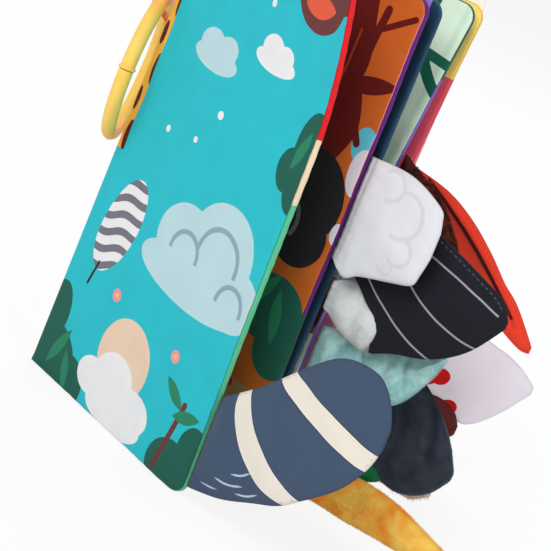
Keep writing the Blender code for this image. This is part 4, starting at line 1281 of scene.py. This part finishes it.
def makeRibbon():
    size = ribbonLoop
    lean = math.atan2(size["spread"], size["depth"] - size["out"])
    span = Vector((size["depth"] - size["out"], size["spread"])).length
    tangent = lean - math.acos(size["radius"] / span)
    path = [(size["depth"], size["spread"] + size["foot"]), (size["depth"], size["spread"])]
    for k in range(size["steps"] + 1):
        turn = tangent * (1 - 2 * k / size["steps"])
        path.append((size["out"] + size["radius"] * math.cos(turn), size["radius"] * math.sin(turn)))
    path += [(size["depth"], -size["spread"]), (size["depth"], -size["spread"] - size["foot"])]
    path = [Vector((-out, 0, size["height"] + up)) for out, up in path]
    bpy.ops.mesh.primitive_plane_add(size=1, rotation=(0, math.pi / 2, 0))
    made = bpy.context.object
    made.name = "ribbon_loop"
    bpy.ops.object.transform_apply(location=False, rotation=True, scale=False)
    bpy.ops.transform.resize(value=(1, size["wide"], size["foot"]))
    bpy.ops.transform.translate(value=(path[0] + path[1]) / 2)
    bpy.ops.object.transform_apply(location=True, rotation=False, scale=True)
    bpy.ops.object.mode_set(mode="EDIT")
    selectEdges(made, lambda at: at.z < path[1].z + 0.1 * mm)
    for here, after in zip(path[1:], path[2:]):
        bpy.ops.mesh.extrude_region_move(TRANSFORM_OT_translate={"value": after - here})
    bpy.ops.object.mode_set(mode="OBJECT")
    thick = made.modifiers.new("thick", "SOLIDIFY")
    thick.thickness = size["thick"]
    thick.offset = 0
    thick.use_even_offset = True
    soft = made.modifiers.new("soft", "BEVEL")
    soft.width = 0.25 * mm
    soft.segments = 2
    soft.angle_limit = math.radians(60)
    for name in ("thick", "soft"):
        bpy.ops.object.modifier_apply(modifier=name)
    bpy.ops.object.mode_set(mode="EDIT")
    faceOutward()
    endModelling(made, lambda at: (at.y, at.z, at.x), spineFrame)
    made.data.materials.append(ribbonFinish())
    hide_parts("ring_loop")
    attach(made, "spine")
    spots, ways, out = [], [], -size["depth"] - size["thick"] / 2
    for side in (-1, 1):
        # two rows across each foot, and two up it
        for up in (size["spread"] + 2 * mm, size["spread"] + size["foot"] - 1.6 * mm):
            spots += [(out, across, size["height"] + side * up) for across in np.linspace(-3, 3, 4) * mm]
            ways += [(0, 1, 0)] * 4
        for across in (-3.2, 3.2):
            ups = np.linspace(3, size["foot"] / mm - 2.8, 4) * mm + size["spread"]
            spots += [(out, across * mm, size["height"] + side * up) for up in ups]
            ways += [(0, 0, 1)] * 4
    spineStitches("ribbon_stitches", np.array(spots), np.array(ways, float), 1.5 * mm, 0.42 * mm)


def makeRing():
    # a round section is spun about the ring's middle and its two ends are closed; a collar sits on it
    size = clipRing
    half = size["slit"] / size["away"] / 2
    start = math.radians(size["slitTurn"]) + half
    collar = math.radians(size["collarTurn"])

    def spotAt(turn):
        return Vector((0, math.sin(turn), math.cos(turn))) * size["away"] - Vector((0, 0, size["away"]))

    bpy.ops.mesh.primitive_circle_add(vertices=size["sides"], radius=size["tube"], location=spotAt(start),
                                      rotation=(math.pi / 2 - start, 0, 0))
    made = bpy.context.object
    made.name = "clip_ring"
    bpy.ops.object.transform_apply(location=True, rotation=True, scale=False)
    middle = Vector((0, 0, -size["away"]))
    for point in made.data.vertices:
        if abs(point.co.x) < 0.01 * mm:
            point.co += (point.co - spotAt(start)).normalized() * size["ridge"]
    bpy.ops.object.mode_set(mode="EDIT")
    bpy.ops.mesh.select_all(action="SELECT")
    bpy.ops.mesh.spin(steps=size["steps"], angle=2 * math.pi - 2 * half, center=middle, axis=(-1, 0, 0))
    bpy.ops.mesh.select_all(action="SELECT")
    bpy.ops.mesh.fill_holes(sides=0)
    faceOutward()
    bpy.ops.mesh.primitive_torus_add(major_radius=size["tube"], minor_radius=size["collar"],
                                     major_segments=32, minor_segments=10, location=spotAt(collar),
                                     rotation=(-math.pi / 2 - collar, 0, 0))
    bpy.ops.object.transform_apply(location=True, rotation=True, scale=False)
    made.select_set(True)
    bpy.context.view_layer.objects.active = made
    bpy.ops.object.join()
    turned = Matrix.Rotation(math.radians(size["turned"]), 4, "Z")
    hang = Matrix.Translation(Vector(size["hangs"]) * mm) @ turned
    endModelling(made, lambda at: at, hang)
    made.data.materials.append(ringFinish())
    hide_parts("ring")
    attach(made, "ring")


# Place, size in metres and power of each lamp
lamps = dict(key=((-0.5, -1.1, 1.2), 0.9, 14), fill=((1.1, -0.9, 0.7), 1.0, 7),
             rear=((0.2, 1.2, 1.2), 1.0, 10))


def makeStage():
    bpy.ops.mesh.primitive_plane_add(size=6, location=(0, 0, -0.0005))
    floor = bpy.context.object
    floor.name = "paleFloor"
    made, tree, shader = startFinish("paleFloorPaint")
    shader.inputs["Base Color"].default_value = (0.93, 0.93, 0.93, 1)
    shader.inputs["Roughness"].default_value = 0.9
    glow = add(tree, "ShaderNodeEmission", {"Color": (1, 1, 1, 1), "Strength": 1.0})
    rays = add(tree, "ShaderNodeLightPath")
    seen = sums(tree, "MULTIPLY", rays.outputs["Is Camera Ray"], 0.86)
    mixed = add(tree, "ShaderNodeMixShader", {0: seen, 1: shader.outputs[0], 2: glow.outputs[0]})
    tree.links.new(mixed.outputs[0], tree.nodes["Material Output"].inputs["Surface"])
    floor.data.materials.append(made)

    world = bpy.data.worlds.new("paleRoom")
    world.use_nodes = True
    bpy.context.scene.world = world
    tree = world.node_tree
    background = tree.nodes["Background"]
    background.inputs["Color"].default_value = (1, 1, 1, 1)
    rays = add(tree, "ShaderNodeLightPath")
    seen = sums(tree, "MAXIMUM", rays.outputs["Is Camera Ray"], rays.outputs["Is Glossy Ray"])
    seen = sums(tree, "MAXIMUM", seen, rays.outputs["Is Transmission Ray"])
    strength = sums(tree, "MULTIPLY_ADD", seen, 0.6, 0.4)
    give(tree, background.inputs["Strength"], strength)

    for name, (place, size, power) in lamps.items():
        data = bpy.data.lights.new(name + "Lamp", "AREA")
        data.size = size
        data.energy = power
        lamp = bpy.data.objects.new(name + "Lamp", data)
        bpy.context.scene.collection.objects.link(lamp)
        lamp.location = place
        lamp.rotation_euler = (Vector((0.08, 0, 0.1)) - Vector(place)).to_track_quat("-Z", "Y").to_euler()


print("stage: camera")
placeCamera()

print("stage: threads and fillings")
stitches = stitchModel()
fillings = {"_crinkle_film": filmFinish(), "_wadding": waddingFinish()}
threads = {
    "slate": plainThread("slateThread", (62, 80, 108)),
    "white": plainThread("whiteThread", (214, 214, 220)),
    "grey": plainThread("greyThread", (78, 84, 96)),
    "red": plainThread("redThread", (170, 34, 20)),
    "yellow": plainThread("yellowThread", (236, 190, 90)),
}

print("stage: leaves")
for leaf in leaves:
    makeLeaf(leaf)

print("stage: spine and ring")
tapeFinish = spineFinish("spineCloth")
makeTape()
for pair in (("leaf_3", "leaf_2"), ("leaf_2", "front_cover"), ("leaf_4", "leaf_5"), ("leaf_5", "back_cover")):
    makeStrip(*pair)
makeRibbon()
makeRing()

print("stage: tails")
cream = (236, 228, 215)
seamBlue = (54, 68, 94)
arcBlue = (186, 198, 216)
lineGrey = (158, 158, 166)
flatFinishes = {
    "striped_tail": tailCloth("stripedTailCloth", (64, 82, 107), [
        (seamBlue, "between", dict(x=50.1, z=45.6, radius=44.5, x2=70.8, z2=78.2, radius2=69.7)),
        (cream, "between", dict(x=50.1, z=45.6, radius=44, x2=70.8, z2=78.2, radius2=70.2)),
        (seamBlue, "between", dict(x=93.8, z=283.3, radius=245.1, x2=317, z2=2244.9, radius2=2207.8)),
        (cream, "between", dict(x=93.8, z=283.3, radius=244.5, x2=317, z2=2244.9, radius2=2208.3)),
        (arcBlue, "bow", dict(x=21.9, z=13.4, radius=14.9, thick=0.9, low=14, turn=-147.9)),
        (arcBlue, "bow", dict(x=17, z=17.3, radius=25.3, thick=0.9, low=24.1, turn=-162.8)),
        (arcBlue, "bow", dict(x=7.6, z=8.1, radius=23.1, thick=0.9, low=22.7, turn=-165.8)),
        (arcBlue, "bow", dict(x=26, z=12.9, radius=21.1, thick=0.9, low=20.2, turn=-151.4)),
    ], fleck=0.06),
    "satin_tail": tailCloth("satinTailCloth", (226, 226, 232), [
        ((215, 215, 222), "bow", dict(x=15, z=17.6, radius=6.6, thick=1.9, low=-3, turn=-70)),
        ((215, 215, 222), "bow", dict(x=26, z=8.6, radius=10, thick=2.0, low=-4, turn=-82)),
        ((215, 215, 222), "bow", dict(x=31, z=-6, radius=6, thick=1.9, low=-3, turn=-100)),
        ((217, 217, 224), "bow", dict(x=27, z=-14.5, radius=3.6, thick=1.1, low=-2, turn=-130)),
    ], rough=0.42, fleck=0.03),
    "dark_tail": tailCloth("darkTailCloth", (25, 26, 35), [
        (lineGrey, "trail", dict(points=((10, 9.4), (38.5, 5.2), (60, 1.4), (80, -2.9)), thick=0.9)),
        (lineGrey, "bow", dict(x=72.1, z=49.1, radius=70.2, thick=0.9, low=50, turn=165)),
        (lineGrey, "bow", dict(x=76.7, z=64.5, radius=102.3, thick=0.9, low=70, turn=162)),
    ], fleck=0.05),
    "crescent_tail": tailCloth("crescentTailCloth", (236, 64, 40), [
        # painted shade: the dark inside of the slit's opening
        ((112, 14, 8), "trail", dict(points=((8, 13.3), (20.2, 5.7), (35.6, -4.7), (46, -12.5), (55.9, -20.6),
                                             (70.1, -32.7), (76, -38)), thick=1.7)),
    ], fleck=0.05),
    "fan_tail": tailCloth("fanTailCloth", (230, 223, 234), [
        ((196, 10, 12), "cluster", dict(rows=((46.5, -29, 8, 6), (54.8, -27.6, 5.2, 4.6),
                                              (65.5, -41.8, 4.6, 4.2)))),
    ], fleck=0.03),
}
plushFinishes = {
    "brown_fur_tail": plainPlush("brownFur", (52, 22, 17), (92, 46, 36), fleck=0.9, mottle=0.3),
    "fluke_tail": plainPlush("mintPlush", (198, 238, 234), (166, 216, 218), fleck=0.22),
    "green_tail": plainPlush("greenPlush", (20, 110, 70)),
    "velvet_tail": plainPlush("slateVelvet", (44, 47, 57), (54, 60, 72), fleck=0.3, sheen=0.8,
                              sheenTint=(150, 178, 200)),
    "beige_fur_tail": plainPlush("beigeFur", (214, 192, 172), (228, 210, 196), mottle=0.3),
    "brown_tail": plainPlush("brownPlush", (95, 40, 40)),
    "grey_tail": plainPlush("greyPlush", (224, 227, 227), (229, 231, 231), fleck=0.08, mottle=0.03),
    "orange_tail": plainPlush("orangePlush", (255, 154, 40), (255, 212, 100), fleck=0.2, mottle=0.06),
}
for name, tail in flatTails.items():
    makeTail(name, tail, flatFinishes[name])
for name, tail in plushTails.items():
    body = makeTail(name, tail, plushFinishes[name])
    addPile(body, name, **tail["pile"])

print("stage: floor and light")
makeStage()
bpy.context.scene.view_settings.view_transform = "Standard"
